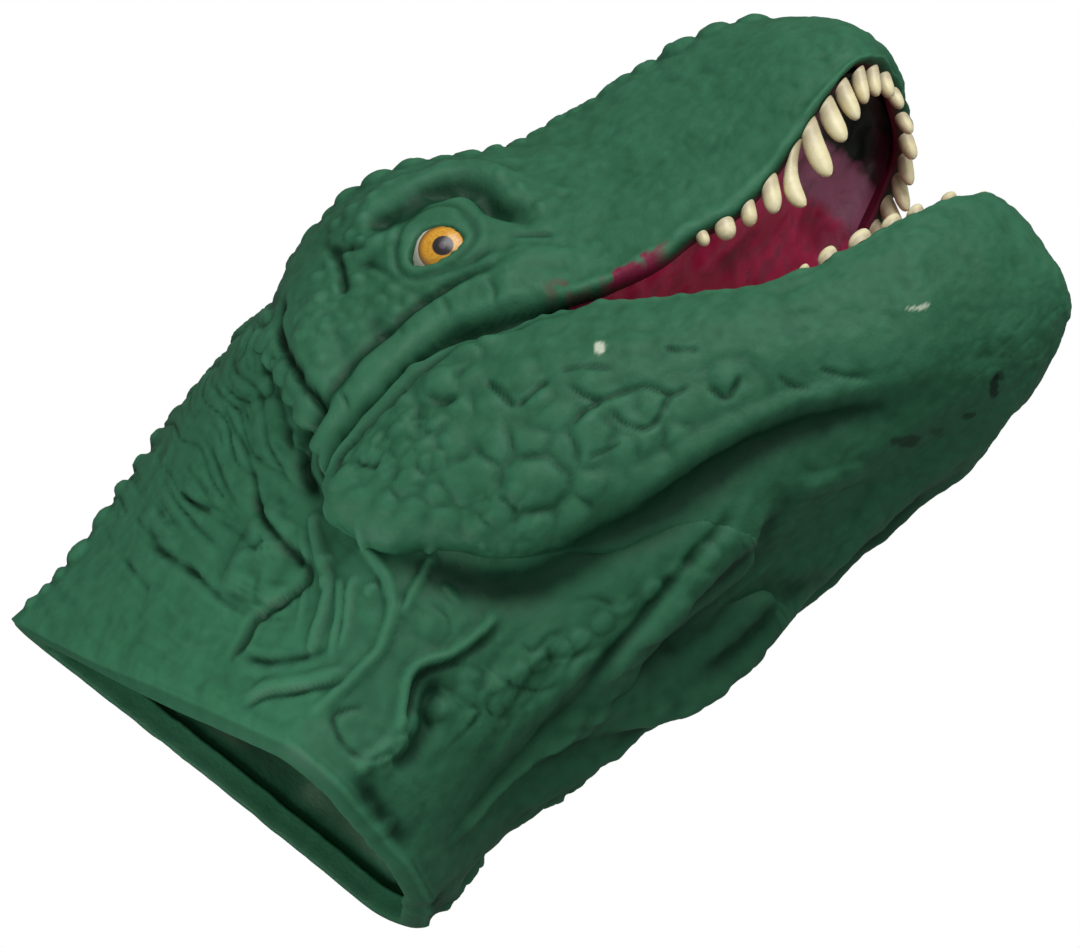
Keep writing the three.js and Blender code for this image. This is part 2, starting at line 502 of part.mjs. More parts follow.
const lowerLip = lipCurve((a) => {
  const mid = (a + jawBack(a)) / 2;
  return jawAt(mid, lipToChin(mid)[0][0], -(lipToChin(a)[0][1] + jawInner(a)[0][1]) / 2);
}, 79.35, 14);
// Cast relief: ridges and knobs that stand on a skin
const RIDGE_SIDES = 6;
const RIDGE_ROOT = 1.6;      // how deep a ridge sits in its skin
const KNOB_SIDES = 8;
const onSkull = (s, place) => {
  const [t, y] = half(SKULL, s, 2, place, 7, true)[0];
  return skullAt(s, t, -y);
};
const onNeck = (z, place) => {
  const [x, y] = half(NECK, z, 2, place, 9, true)[0];
  return neckAt(z, x, -y);
};
function standing(pointAt, [station, place]) {
  const ahead = sub(pointAt(station + 0.5, place), pointAt(station - 0.5, place));
  const round = sub(pointAt(station, place + 0.04), pointAt(station, place - 0.04));
  return { here: pointAt(station, place), out: unit(cross(round, ahead)) };
}
function ridge(pointAt, rows) {
  const spots = rows.map((row) => standing(pointAt, row));
  return loft(rows.map(([, , wide, high], i) => {
    const { here, out } = spots[i];
    const along = unit(sub(spots[Math.min(i + 1, rows.length - 1)].here, spots[Math.max(i - 1, 0)].here));
    const up = unit(add(out, along, -dot(out, along)));
    const across = cross(up, along);
    return turns(RIDGE_SIDES).map((q) => add(
      add(here, up, Math.sin(q) * (Math.sin(q) > 0 ? high : RIDGE_ROOT)), across, Math.cos(q) * wide));
  }));
}
function knob(pointAt, [station, place, radius, height]) {
  const { here, out } = standing(pointAt, [station, place]);
  return wasm.Manifold.sphere(radius, KNOB_SIDES).translate(add(here, out, height - radius));
}

const skullDown = unit(sub(skullAt(0, -1, 0), skullAt(0, 0, 0)));
const skullRearward = unit(sub(skullAt(-1, 0, 0), skullAt(0, 0, 0)));
const jawUp = unit(sub(jawAt(0, -1, 0), jawAt(0, 0, 0)));
const jawRearward = unit(sub(jawAt(-1, 0, 0), jawAt(0, 0, 0)));

// Choosing the body wanted after a cut
const largest = (bodies) => bodies.reduce((best, b) => (b.volume() > best.volume() ? b : best));
const onSide = (body, side) => largest(body.decompose().filter((b) => {
  const { min, max } = b.boundingBox();
  return side * (min[1] + max[1]) > 0;
}));
const otherSide = (body) => body.mirror([0, 1, 0]);

const green = { color: 0x33664c, roughness: 0.5 };
const lining = { color: 0x7d1638, roughness: 0.45 };
const cream = { color: 0xdccfa0, roughness: 0.4 };
const amber = { color: 0xd69a2c, roughness: 0.25 };

const pieces = [];
const keep = (name, body, look) => pieces.push({ name, body, look });

const without = (body, ...cuts) => largest(cuts.reduce((rest, cut) => rest.subtract(cut), body).decompose());
const socket = (side) => ball(EYE_RADIUS + GAP, side);
const bothSides = (bodies) => bodies.flatMap((body) => [body, otherSide(body)]);
const withAll = (skin, bodies) => bodies.reduce((whole, body) => whole.add(body), skin);
const neckRelief = [...bothSides([ridge(onNeck, THROAT_RIDGE)]), ...NAPE_KNOBS.map((row) => knob(onNeck, row))];
const skullRelief = bothSides([
  ridge(onSkull, BROW), ridge(onSkull, CHEEK_FOLD), ...CREST_KNOBS.map((row) => knob(onSkull, row))]);
keep("neck_sleeve", without(withAll(neckShell, neckRelief), grownSkull, grownJaw, headRoom), green);
keep("skull_skin", without(withAll(skullShell, skullRelief), grownJaw, socket(1), socket(-1)), green);
const bulge = onSide(jawShell.subtract(headRoom).subtract(neckHollow), -1);
keep("cheek_bulge_right", bulge, green);
keep("cheek_bulge_left", otherSide(bulge), green);
const foldGrid = (k) => foldAngles.map((deg) => foldRow(deg, k));
keep("throat_fold", shell(foldGrid(1), foldGrid(FOLD_THIN), false), green);
keep("palate_lining", sheet(palateRows, skullAt).add(roll), lining);
keep("eyeball_right", eye(-1), amber);
keep("eyeball_left", eye(1), amber);
keep("lower_jaw_skin", largest(jawShell.intersect(jawRoom).decompose()), green);
keep("mouth_floor_lining", sheet(floorRows, jawAt), lining);
UPPER_TEETH.forEach((row, i) => {
  const body = tooth(upperLip, skullDown, skullRearward, row);
  keep(`upper_tooth_right_${i + 1}`, body, cream);
  keep(`upper_tooth_left_${i + 1}`, otherSide(body), cream);
});
LOWER_TEETH.forEach((row, i) => {
  const body = tooth(lowerLip, jawUp, jawRearward, [...row, 0.05]);
  keep(`lower_tooth_right_${i + 1}`, body, cream);
  keep(`lower_tooth_left_${i + 1}`, otherSide(body), cream);
});

// The frame's X = 0 is the middle of the whole part's box
const boxes = pieces.map(({ body }) => body.boundingBox());
const midX = (Math.min(...boxes.map((b) => b.min[0])) + Math.max(...boxes.map((b) => b.max[0]))) / 2;
const group = new THREE.Group();
group.name = "dinosaur_hand_puppet";
pieces.forEach(({ name, body, look }) => {
  const { vertProperties, triVerts } = body.translate([-midX, 0, 0]).getMesh();
  const geometry = new THREE.BufferGeometry();
  geometry.setAttribute("position", new THREE.BufferAttribute(new Float32Array(vertProperties), 3));
  geometry.setIndex(new THREE.BufferAttribute(new Uint32Array(triVerts), 1));
  geometry.computeVertexNormals();
  const mesh = new THREE.Mesh(geometry, new THREE.MeshStandardMaterial(look));
  mesh.name = name;
  group.add(mesh);
});

export default group;
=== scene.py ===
"""Dinosaur head hand puppet in soft green rubber, standing on the cut rim of its neck."""
import json
import math
import bpy
import numpy as np
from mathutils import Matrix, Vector
from mathutils.kdtree import KDTree


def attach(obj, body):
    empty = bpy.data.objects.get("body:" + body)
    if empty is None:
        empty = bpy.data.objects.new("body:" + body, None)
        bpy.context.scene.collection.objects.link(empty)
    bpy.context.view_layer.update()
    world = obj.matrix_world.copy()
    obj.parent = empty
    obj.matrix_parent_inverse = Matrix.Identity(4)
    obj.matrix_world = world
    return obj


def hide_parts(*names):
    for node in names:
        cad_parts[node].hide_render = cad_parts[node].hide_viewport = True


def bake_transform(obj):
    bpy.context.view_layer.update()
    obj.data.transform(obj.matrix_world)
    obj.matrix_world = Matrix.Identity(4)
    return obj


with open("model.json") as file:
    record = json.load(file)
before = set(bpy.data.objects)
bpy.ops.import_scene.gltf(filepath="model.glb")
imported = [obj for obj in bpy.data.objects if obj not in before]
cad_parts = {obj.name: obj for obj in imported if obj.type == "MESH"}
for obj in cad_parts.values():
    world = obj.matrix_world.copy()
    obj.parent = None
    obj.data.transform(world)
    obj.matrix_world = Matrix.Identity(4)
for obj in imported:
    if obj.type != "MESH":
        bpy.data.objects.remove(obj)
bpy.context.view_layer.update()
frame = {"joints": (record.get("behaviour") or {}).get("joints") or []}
MM = 0.001

# Sizes in millimetres, about the jaw's hinge
HINGE = np.array(frame["joints"][0]["pos_m"]) / MM
RIM_BACK = 15.5          # rim's middle behind the hinge
SKULL_TILT = 25.0        # degrees forward of the neck
JAW_TILT = 45.0
WALL = 3.4               # rubber skin
THIN = 0.9               # rubber left below a deep crease
STEP = 0.55              # spacing of the skull's points
WIDE_STEP = 0.62         # spacing of the neck's and jaw's points
SMOOTH_STEP = 1.6        # spacing where a form stays smooth
BACK_EVERY = 4           # a skin's inner face keeps every fourth point
NECK_TOP = 92            # highest station of the neck
SKULL_END, SKULL_TIP = -50, 78.3        # rear and front along the skull's own axis
JAW_END, JAW_TIP = -47, 87.6            # the same along the jaw's

# The picture's camera: direction to it, its up and right, and its scale
TOWARD = np.array([0.45830781, -0.85445883, -0.2446509])
UPWARD = np.array([-0.47105963, -0.46694068, 0.74837772])
RIGHTWARD = np.array([0.75369541, 0.22774219, 0.61650362])
PICTURE = (1080, 948)
FOCAL_PIXELS = 7700.0
CAMERA_SPOT = np.array([661.946 - RIM_BACK, -1206.983, -266.942]) + [HINGE[0], 0, 0]

# Half sections, each row a station and its points as (across, half width)
NECK = [
    [0, -51.3, 0, -48.4, 3.4, -26.4, 10.8, -8, 18, 9, 26.5, 19, 31.5, 31, 35.5, 42, 28, 48, 13, 49.5, 0],
    [14, -48.6, 0, -47, 4, -28, 14, -9, 22, 8, 29, 19, 33.5, 31, 35, 41, 26.5, 47.4, 13, 48.2, 0],
    [32, -49.6, 0, -48, 5.5, -32, 18, -12, 27, 6, 33, 19, 36, 32, 34.5, 43.4, 26, 50.4, 14, 48.4, 0],
    [50, -50.6, 0, -49, 7, -36, 22, -16, 32, 4, 37, 19, 38.5, 34, 36, 47.6, 26, 56, 15, 53, 0],
    [66, -50.4, 0, -49, 8, -37, 25, -18, 35, 4, 39, 20, 40, 38, 37.5, 53, 27, 62, 15, 58.4, 0],
    [80, -47, 0, -45, 9, -34, 24, -17, 33, 4, 36, 20, 37, 38, 36, 55, 27, 62.8, 14, 59.6, 0],
    [92, -38, 0, -36, 8, -28, 20, -14, 28, 4, 30, 18, 31, 32, 30, 50, 24, 60, 12, 57.8, 0],
]
SKULL = [
    [-52, 46, 0, 44, 9, 28, 28, 8, 37, -10, 40, -22, 36, -26, 18, -26, 0],
    [-46, 48.5, 0, 44.8, 12.6, 31, 30.5, 11, 40, -8, 42.5, -18, 38, -20, 18, -20, 0],
    [-36, 48, 0, 50.6, 16.6, 36, 32, 16, 39.5, -6, 42.5, -14, 39, -15, 18, -15, 0],
    [-24, 45.4, 0, 51.3, 23.3, 35, 36, 14, 39, -3, 41.5, -8, 38, -8, 18, -8, 0],
    [-12, 42.6, 0, 48.9, 26.2, 32, 36.5, 11, 38.5, -2, 40, -5, 37, -4, 18, -4, 0],
    [0, 42.8, 0, 46.2, 24.3, 28.5, 33, 11, 36.5, 0, 38, -1, 35, 4, 18, 4, 0],
    [8, 46.5, 0, 48.5, 16.5, 30.5, 28.5, 13, 33.5, -0.5, 36.5, -0.5, 33, 5, 17, 5, 0],
    [20, 50, 0, 51.5, 12, 34.5, 23, 16, 30, 0.3, 34.5, 0.8, 31.5, 6.4, 16, 7.4, 0],
    [28, 50.8, 0, 52, 11.8, 35, 22.3, 17.5, 28.8, 2.7, 32.8, 3.4, 29.8, 9, 15, 10.4, 0],
    [36, 52, 0, 53.1, 11.5, 35.5, 21.5, 19, 27.5, 3.7, 31, 4.8, 28, 11, 14, 13, 0],
    [50, 52, 0, 53.6, 10.5, 38, 20.5, 24, 25.5, 11, 28, 12, 25, 18, 12, 20, 0],
    [62, 49, 0, 50, 10, 38.5, 19.5, 28, 24, 19.5, 25, 20.5, 22, 26, 9, 27, 0],
    [68, 46, 0, 47, 9.5, 38, 18, 29.6, 22.7, 23.3, 23, 24, 20, 28.4, 9, 29.6, 0],
    [72, 43.5, 0, 44, 8.5, 37, 17, 31, 21, 25.3, 20.2, 26, 17, 29.6, 8, 31, 0],
    [74.5, 41, 0, 41.2, 7.5, 36.2, 14.2, 31.6, 17, 26.6, 15.6, 27.2, 12.5, 29.2, 6, 30.4, 0],
    [76.2, 39, 0, 39, 6, 35.6, 10.8, 31.8, 12.2, 27.8, 6.5, 28.2, 5, 28.8, 2.4, 29, 0],
    [76.6, 38.3, 0, 38.2, 5.5, 35.2, 9.6, 31.8, 10.6, 28.2, 0.05, 28.2, 0.3, 28.2, 0.2, 28.2, 0],
    [77.6, 36.5, 0, 36.3, 4, 34.4, 6.5, 32, 6.8, 29.6, 0.05, 29.6, 0.2, 29.6, 0.1, 29.6, 0],
    [78.3, 34.5, 0, 34.4, 1.2, 33.6, 2.2, 32.6, 2.2, 31.8, 0.05, 31.8, 0.2, 31.8, 0.1, 31.8, 0],
]
JAW = [
    [-47, 29, 38, 29.5, 39, 31, 40, 33, 39.6, 33.5, 37, 33, 30, 32, 0],
    [-44, 24, 38, 25, 41, 31, 43.5, 35, 42, 37, 37, 35, 20, 33, 0],
    [-38, 17, 40, 21, 43.5, 31, 45, 39, 43, 43, 37, 40, 20, 36, 0],
    [-28, 10, 41, 14, 44.5, 28, 46.8, 40, 44.5, 46.5, 37, 44, 20, 40, 0],
    [-14, 4, 40, 9, 43.5, 26, 46.8, 41.5, 44, 49.5, 36, 47, 20, 44, 0],
    [0, 2, 37.5, 6, 41, 22, 45.5, 38.5, 42, 47, 34, 49, 20, 47, 0],
    [12, 1, 36, 5, 39, 18, 43, 33.5, 40, 42, 31.5, 47, 16, 47, 0],
    [25, 1.8, 34.5, 5, 36.5, 14, 39.5, 28, 36.5, 36, 28, 41.2, 15, 40.6, 0],
    [33, 2, 32.8, 4.8, 34.8, 12, 37.2, 23.8, 34.8, 32.2, 26.8, 36.9, 13.8, 36, 0],
    [40, 0.4, 31, 3.2, 33, 10, 35, 20, 33, 28.5, 25.5, 32.9, 12.5, 31.9, 0],
    [54, -7, 26, -3.4, 28.5, 4.2, 30, 14, 28, 21.5, 21.5, 25.4, 11, 24.9, 0],
    [65, -14, 21, -10, 24, -2, 26, 9, 24.5, 16.5, 19, 19.7, 10, 19.7, 0],
    [72, -18.2, 16.5, -14.2, 19.5, -6.5, 21.6, 3.6, 20, 12, 15, 15.6, 7.5, 16, 0],
    [76, -20, 11.5, -16.8, 16, -8.2, 18.6, 1.6, 17.4, 9.4, 12.8, 12.8, 6.5, 13.2, 0],
    [78.6, -20.8, 5.5, -17.8, 12.6, -8.8, 16, 0.2, 14.8, 7.4, 11, 10.8, 5.6, 11.2, 0],
    [79.4, -20.9, 0.05, -17.8, 10.8, -8.8, 14.8, -0.4, 13.8, 6.8, 10.2, 10, 5.2, 10.4, 0],
    [83, -16, 0.05, -13.4, 8, -7, 11, -1, 10.4, 3.6, 7.4, 6.2, 3.8, 6.6, 0],
    [86, -9.4, 0.05, -8, 4.8, -5, 6.6, -2, 6.4, 0.4, 4.4, 2, 2.2, 2.2, 0],
    [87.2, -6.8, 0.05, -6, 3, -4.3, 4.3, -2.3, 4.2, -0.7, 2.9, 0.4, 1.5, 0.5, 0],
    [87.6, -4.4, 0.05, -4.1, 1.2, -3.4, 1.8, -2.6, 1.8, -1.9, 1.2, -1.6, 0.6, -1.6, 0],
]


# Working out forms from the sections

def rows_at(table, stations):
    """Rows at any stations: cubics through the table's rows, level where their trend turns."""
    table = np.array(table, float)
    x, rows = table[:, 0], table[:, 1:]
    gap = np.diff(x)[:, None]
    trend = np.diff(rows, axis=0) / gap
    slope = np.empty_like(rows)
    slope[0], slope[-1] = trend[0], trend[-1]
    inner = (trend[:-1] * gap[1:] + trend[1:] * gap[:-1]) / (gap[1:] + gap[:-1])
    slope[1:-1] = np.where(trend[:-1] * trend[1:] > 0, inner, 0)
    at = np.clip(stations, x[0], x[-1])
    i = np.clip(np.searchsorted(x, at, side="right") - 1, 0, len(x) - 2)
    h = gap[i]
    t = ((at - x[i]) / (x[i + 1] - x[i]))[:, None]
    return ((2 * t ** 3 - 3 * t ** 2 + 1) * rows[i] + (t ** 3 - 2 * t ** 2 + t) * h * slope[i]
            + (3 * t ** 2 - 2 * t ** 3) * rows[i + 1] + (t ** 3 - t ** 2) * h * slope[i + 1])


def catmull_rom(points, t):
    """Curve between the second and third of four points, for t from 0 to 1."""
    p0, p1, p2, p3 = points
    return 0.5 * (2 * p1 + (p2 - p0) * t + (2 * p0 - 5 * p1 + 4 * p2 - p3) * t ** 2
                  + (3 * p1 - p0 - 3 * p2 + p3) * t ** 3)


def sections(table, stations, places, mirror_start=True):
    """Smooth half sections: a Catmull-Rom curve through each row's points, read at the places."""
    points = rows_at(table, stations).reshape(len(stations), -1, 2)
    flip = np.array([1, -1])
    first = points[:, 1] * flip if mirror_start else 2 * points[:, 0] - points[:, 1]
    padded = np.concatenate([first[:, None], points, (points[:, -2] * flip)[:, None]], axis=1)
    i = np.clip(np.floor(places).astype(int), 0, points.shape[1] - 2)
    t = (places - i)[None, :, None]
    curve = catmull_rom([padded[:, i + k] for k in range(4)], t)
    curve[..., 1] = np.maximum(curve[..., 1], 0)
    return curve


def about_hinge(run, rise, y, tilt):
    """Points from a distance along a tilted axis through the hinge and a height above it."""
    c, s = math.cos(math.radians(tilt)), math.sin(math.radians(tilt))
    return np.stack([HINGE[0] + run * s - rise * c, y, HINGE[2] + run * c + rise * s], axis=-1)


def neck_point(z, x, y):
    """Points of the neck: x runs from the rim's middle towards the throat."""
    return np.stack([x + HINGE[0] - RIM_BACK, y, z], axis=-1)


def skull_point(s, t, y):
    """Points of the skull: s runs along its axis to the snout, t up from it."""
    return about_hinge(s, t, y, SKULL_TILT)


def jaw_point(a, b, y):
    """Points of the jaw: a runs along its axis to the chin, b down from it."""
    return about_hinge(a, -b, y, JAW_TILT)


def even_spacing(length_at, start, end, step):
    """Values from start to end at which the length grows in even steps of about the given step."""
    fine = np.linspace(start, end, 2000)
    run = length_at(fine)
    count = max(int(round(run[-1] / step / BACK_EVERY)), 1) * BACK_EVERY
    return np.interp(np.linspace(0, run[-1], count + 1), run, fine)


def travelled(points, axis):
    """Length run along one axis of a grid, averaged over the other."""
    move = np.linalg.norm(np.diff(points, axis=axis), axis=-1).mean(axis=1 - axis)
    return np.concatenate([[0], np.cumsum(move)])


class Form:
    """A skin's plain form: sections of a table set along an axis, mirrored to a full width."""

    def __init__(self, table, place, first, last, low, high, mirror_start=True):
        self.table, self.place, self.mirror_start = table, place, mirror_start
        self.first, self.last, self.low, self.high = first, last, low, high

    def half(self, stations, places):
        """Points of the right half."""
        curve = sections(self.table, stations, places, self.mirror_start)
        along = np.broadcast_to(stations[:, None], curve.shape[:2])
        return self.place(along, curve[..., 0], -curve[..., 1])

    def full(self, stations, places):
        """Points of the whole width, the jaw's from left to right and the others' from right to left."""
        right = self.half(stations, places)
        left = right * [1, -1, 1]
        if self.mirror_start:
            return np.concatenate([right[:, ::-1], left[:, 1:]], axis=1)
        return np.concatenate([left, right[:, -2::-1]], axis=1)

    def spaced(self, step):
        """Stations and places that give an even grid."""
        coarse = np.linspace(self.first, self.last, 24)
        places = even_spacing(lambda p: travelled(self.half(coarse, p), 1), self.first, self.last, step)
        rough = np.linspace(self.first, self.last, 40)
        stations = even_spacing(lambda s: travelled(self.half(s, rough), 0), self.low, self.high, step)
        return stations, places


# Table, axis, first and last place across, and first and last station
NECK_FORM = Form(NECK, neck_point, 0, 9, 0, NECK_TOP)
SKULL_FORM = Form(SKULL, skull_point, 0, 4, SKULL_END - 1, SKULL_TIP)
JAW_FORM = Form(JAW, jaw_point, 0, 6, JAW_END, JAW_TIP, mirror_start=False)


def outward(points, around=False):
    """Unit normals of a grid: the cross product of its two directions, closed round if asked."""
    down = np.gradient(points, axis=0)
    if around:
        across = np.roll(points, -1, axis=1) - np.roll(points, 1, axis=1)
    else:
        across = np.gradient(points, axis=1)
    normal = np.cross(down, across)
    return normal / np.maximum(np.linalg.norm(normal, axis=-1, keepdims=True), 1e-9)


def right_side(points):
    """Points mirrored to the animal's right, where y is below 0."""
    return points * [1, 0, 1] - np.abs(points) * [0, 1, 0]


# Relief: every height is worked out from where a point lies, the same on both sides of the head

def lattice(cells, seed):
    """Fixed pseudo-random numbers from 0 to 1 for whole-number places in space, by mixing their bits."""
    i = cells.astype(np.int64)
    h = i[..., 0] * 374761393 + i[..., 1] * 668265263 + i[..., 2] * 2246822519
    h = (h + seed * 3266489917) & 0xFFFFFFFF
    h = ((h ^ (h >> 13)) * 1274126177) & 0xFFFFFFFF
    h = ((h ^ (h >> 16)) * 2654435761) & 0xFFFFFFFF
    return (h ^ (h >> 15)) / 4294967295.0


def noise(points, size, seed=0):
    """Smooth noise from -1 to 1 with lumps of about the given size."""
    q = points / size
    base = np.floor(q)
    f = q - base
    f = f * f * (3 - 2 * f)
    total = 0
    for corner in np.ndindex(2, 2, 2):
        weight = np.abs(1 - np.array(corner) - f).prod(-1)
        total = total + weight * lattice(base + corner, seed)
    return 2 * total - 1


def layered(points, size, octaves, seed=0):
    """Noise in octaves, each half the size and half the height of the one before."""
    return sum(noise(points, size / 2 ** k, seed + k) / 2 ** k for k in range(octaves))


STRAY = 0.8              # how far a centre may lie from the middle of its cube


def cells(points, size, seed=0):
    """Distances to the nearest and second nearest of jittered centres, one to a cube of space."""
    q = points / size
    base = np.floor(q)
    near = np.full(q.shape[:-1], 9.0)
    second = near.copy()
    for place in np.ndindex(3, 3, 3):
        cube = base + place - 1
        jitter = np.stack([lattice(cube, seed + k) for k in (1, 2, 3)], -1) - 0.5
        d = np.linalg.norm(q - cube - 0.5 - STRAY * jitter, axis=-1)
        second = np.minimum(second, np.maximum(near, d))
        near = np.minimum(near, d)
    return near, second


def ramp(x, low, high):
    """Smooth step from 0 at low to 1 at high."""
    t = np.clip((x - low) / (high - low), 0, 1)
    return t * t * (3 - 2 * t)


def dome(d, power=1.0):
    """A rounded rise: 1 in the middle, 0 from a distance of 1 on."""
    return np.clip(1 - d ** 2, 0, 1) ** power


def valley(d):
    """A rounded valley's share of its depth, by a bell curve of the distance."""
    return np.exp(-d ** 2 * 1.6)


# Places on the skin, found from where they show in the picture

def on_picture(points):
    """Where points show in the picture, in its pixels, and how near the camera they are."""
    away = CAMERA_SPOT - points
    depth = away @ TOWARD
    x = PICTURE[0] / 2 - FOCAL_PIXELS * (away @ RIGHTWARD) / depth
    y = PICTURE[1] / 2 + FOCAL_PIXELS * (away @ UPWARD) / depth
    return x, y, -depth


class Skins:
    """The plain forms together, for finding what lies under a place in the picture."""

    def __init__(self, forms):
        spots, normals = [], []
        for form in forms:
            points = form.full(*form.spaced(SMOOTH_STEP))
            spots.append(points.reshape(-1, 3))
            normals.append(outward(points).reshape(-1, 3))
        spots, normals = np.concatenate(spots), np.concatenate(normals)
        facing = normals @ TOWARD > 0.02
        self.spots = spots[facing]
        self.x, self.y, self.near = on_picture(self.spots)
        self.scale = FOCAL_PIXELS / (-self.near)

    def under(self, pixels):
        """Points on the skin under pixels: the nearest facing grid point, moved across to the pixel."""
        found = []
        for px, py in pixels:
            off = np.hypot(self.x - px, self.y - py)
            reach = max(off.min() * 1.5, 9.0)
            close = np.flatnonzero(off <= reach)
            front = self.near[close].max()
            close = close[self.near[close] > front - 6]
            k = close[np.argmin(off[close])]
            move = ((px - self.x[k]) * RIGHTWARD - (py - self.y[k]) * UPWARD) / self.scale[k]
            found.append(self.spots[k] + move)
        return np.array(found)


def smooth_line(points, parts=5):
    """Catmull-Rom curve through points, with its ends' points repeated."""
    padded = np.concatenate([points[:1], points, points[-1:]])
    t = (np.arange(parts) / parts)[None, :, None]
    curve = catmull_rom([padded[k:len(points) - 1 + k, None] for k in range(4)], t)
    return np.concatenate([curve.reshape(-1, points.shape[1]), points[-1:]])


def near_line(points, line):
    """Distance of points from a line of short straight parts, and how far along it, from 0 to 1."""
    best = np.full(len(points), 1e9)
    along = np.zeros(len(points))
    count = len(line) - 1
    for k in range(count):
        way = line[k + 1] - line[k]
        t = np.clip((points - line[k]) @ way / max(way @ way, 1e-9), 0, 1)
        d = ((points - line[k] - t[:, None] * way) ** 2).sum(1)
        closer = d < best
        best = np.where(closer, d, best)
        along = np.where(closer, (k + t) / count, along)
    return np.sqrt(best), along


# Meshes from grids

def add_object(name, data):
    """An object with its data, in the scene."""
    made = bpy.data.objects.new(name, data)
    bpy.context.scene.collection.objects.link(made)
    return made


def grid_faces(rows, columns, across=False, down=False, start=0):
    """Four-sided faces of a grid of points, closed across its columns or down its rows if asked."""
    i, j = np.meshgrid(np.arange(rows - (not down)), np.arange(columns - (not across)), indexing="ij")
    i2, j2 = (i + 1) % rows, (j + 1) % columns
    corners = [i * columns + j, i2 * columns + j, i2 * columns + j2, i * columns + j2]
    return np.stack(corners, -1).reshape(-1, 4) + start


def make_piece(name, points, faces, body, slot, replaces=(), **marks):
    """A piece from points in millimetres, with its attributes, on a body, or left unattached in place when
    given more than a body's name.
    """
    mesh = bpy.data.meshes.new(name)
    faces = [np.asarray(f) for f in faces]
    mesh.from_pydata((points * MM).tolist(), [], [f for part in faces for f in part.tolist()])
    mesh.polygons.foreach_set("use_smooth", np.ones(len(mesh.polygons), bool))
    for mark, values in marks.items():
        mesh.attributes.new(mark, "FLOAT", "POINT").data.foreach_set("value", values.astype(np.float32))
    mesh.update()
    piece = add_object(name, mesh)
    mesh.materials.append(PAINTS[slot][0])
    if isinstance(body, str):
        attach(piece, body)
    else:
        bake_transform(piece)
    if replaces:
        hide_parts(*replaces)
    return piece


def zipped(fine, coarse, ratio):
    """Triangles between a line of points and a coarser one, with one point to so many of its own."""
    parts = len(coarse) - 1
    half = ratio // 2
    k = np.arange(parts)
    found = []
    for j in range(ratio):
        third = coarse[k] if j < half else coarse[k + 1]
        found.append(np.stack([fine[k * ratio + j], fine[k * ratio + j + 1], third], -1))
    found.append(np.stack([fine[k * ratio + half], coarse[k + 1], coarse[k]], -1))
    return np.concatenate(found)


def sheet_faces(rows, columns, ratio):
    """Faces of a closed sheet: a fine grid, a coarser one behind it, and strips round their edges."""
    fine = np.arange(rows * columns).reshape(rows, columns)
    back_shape = ((rows - 1) // ratio + 1, (columns - 1) // ratio + 1)
    back = np.arange(back_shape[0] * back_shape[1]).reshape(back_shape) + rows * columns
    strips = [zipped(fine[0], back[0], ratio), zipped(fine[:, -1], back[:, -1], ratio),
              zipped(fine[-1, ::-1], back[-1, ::-1], ratio), zipped(fine[::-1, 0], back[::-1, 0], ratio)]
    return [grid_faces(rows, columns), grid_faces(*back_shape, start=rows * columns)[:, ::-1],
            np.concatenate(strips)]


def sheet_points(front, back_depth, normals, ratio):
    """Points of a closed sheet: the front, and the coarser back set in along the normals."""
    back = front[::ratio, ::ratio] - normals[::ratio, ::ratio] * back_depth[::ratio, ::ratio, None]
    return np.concatenate([front.reshape(-1, 3), back.reshape(-1, 3)])


# Materials

class Wire:
    """A socket of a material's nodes, on which sums are written as Python expressions."""

    def __init__(self, paint, socket):
        self.paint, self.socket = paint, socket

    def _sum(self, operation, first, second):
        settings = {"operation": operation}
        return self.paint.node("ShaderNodeMath", settings, {0: first, 1: second})

    def __add__(self, other):
        return self._sum("ADD", self, other)

    def __sub__(self, other):
        return self._sum("SUBTRACT", self, other)

    def __rsub__(self, other):
        return self._sum("SUBTRACT", other, self)

    def __mul__(self, other):
        return self._sum("MULTIPLY", self, other)

    __radd__ = __add__
    __rmul__ = __mul__


class Nodes:
    """The nodes of a material or world."""

    def __init__(self, owner):
        owner.use_nodes = True
        self.tree = owner.node_tree

    def node(self, kind, settings, sockets, output=0):
        """A node of a kind, its settings set first, then the values or links of its sockets."""
        made = self.tree.nodes.new(kind)
        for key, value in settings.items():
            if key == "stops":
                self._stops(made.color_ramp, value)
            else:
                setattr(made, key, value)
        for key, value in sockets.items():
            if isinstance(value, Wire):
                self.tree.links.new(value.socket, made.inputs[key])
            else:
                made.inputs[key].default_value = value
        return Wire(self, made.outputs[output])

    @staticmethod
    def _stops(band, stops):
        for element, (place, value) in zip(band.elements, stops):
            element.position = place
            element.color = (value, value, value, 1)

    def show(self, wire, output):
        """Shows a surface or background through an output node."""
        self.tree.links.new(wire.socket, self.tree.nodes[output].inputs["Surface"])


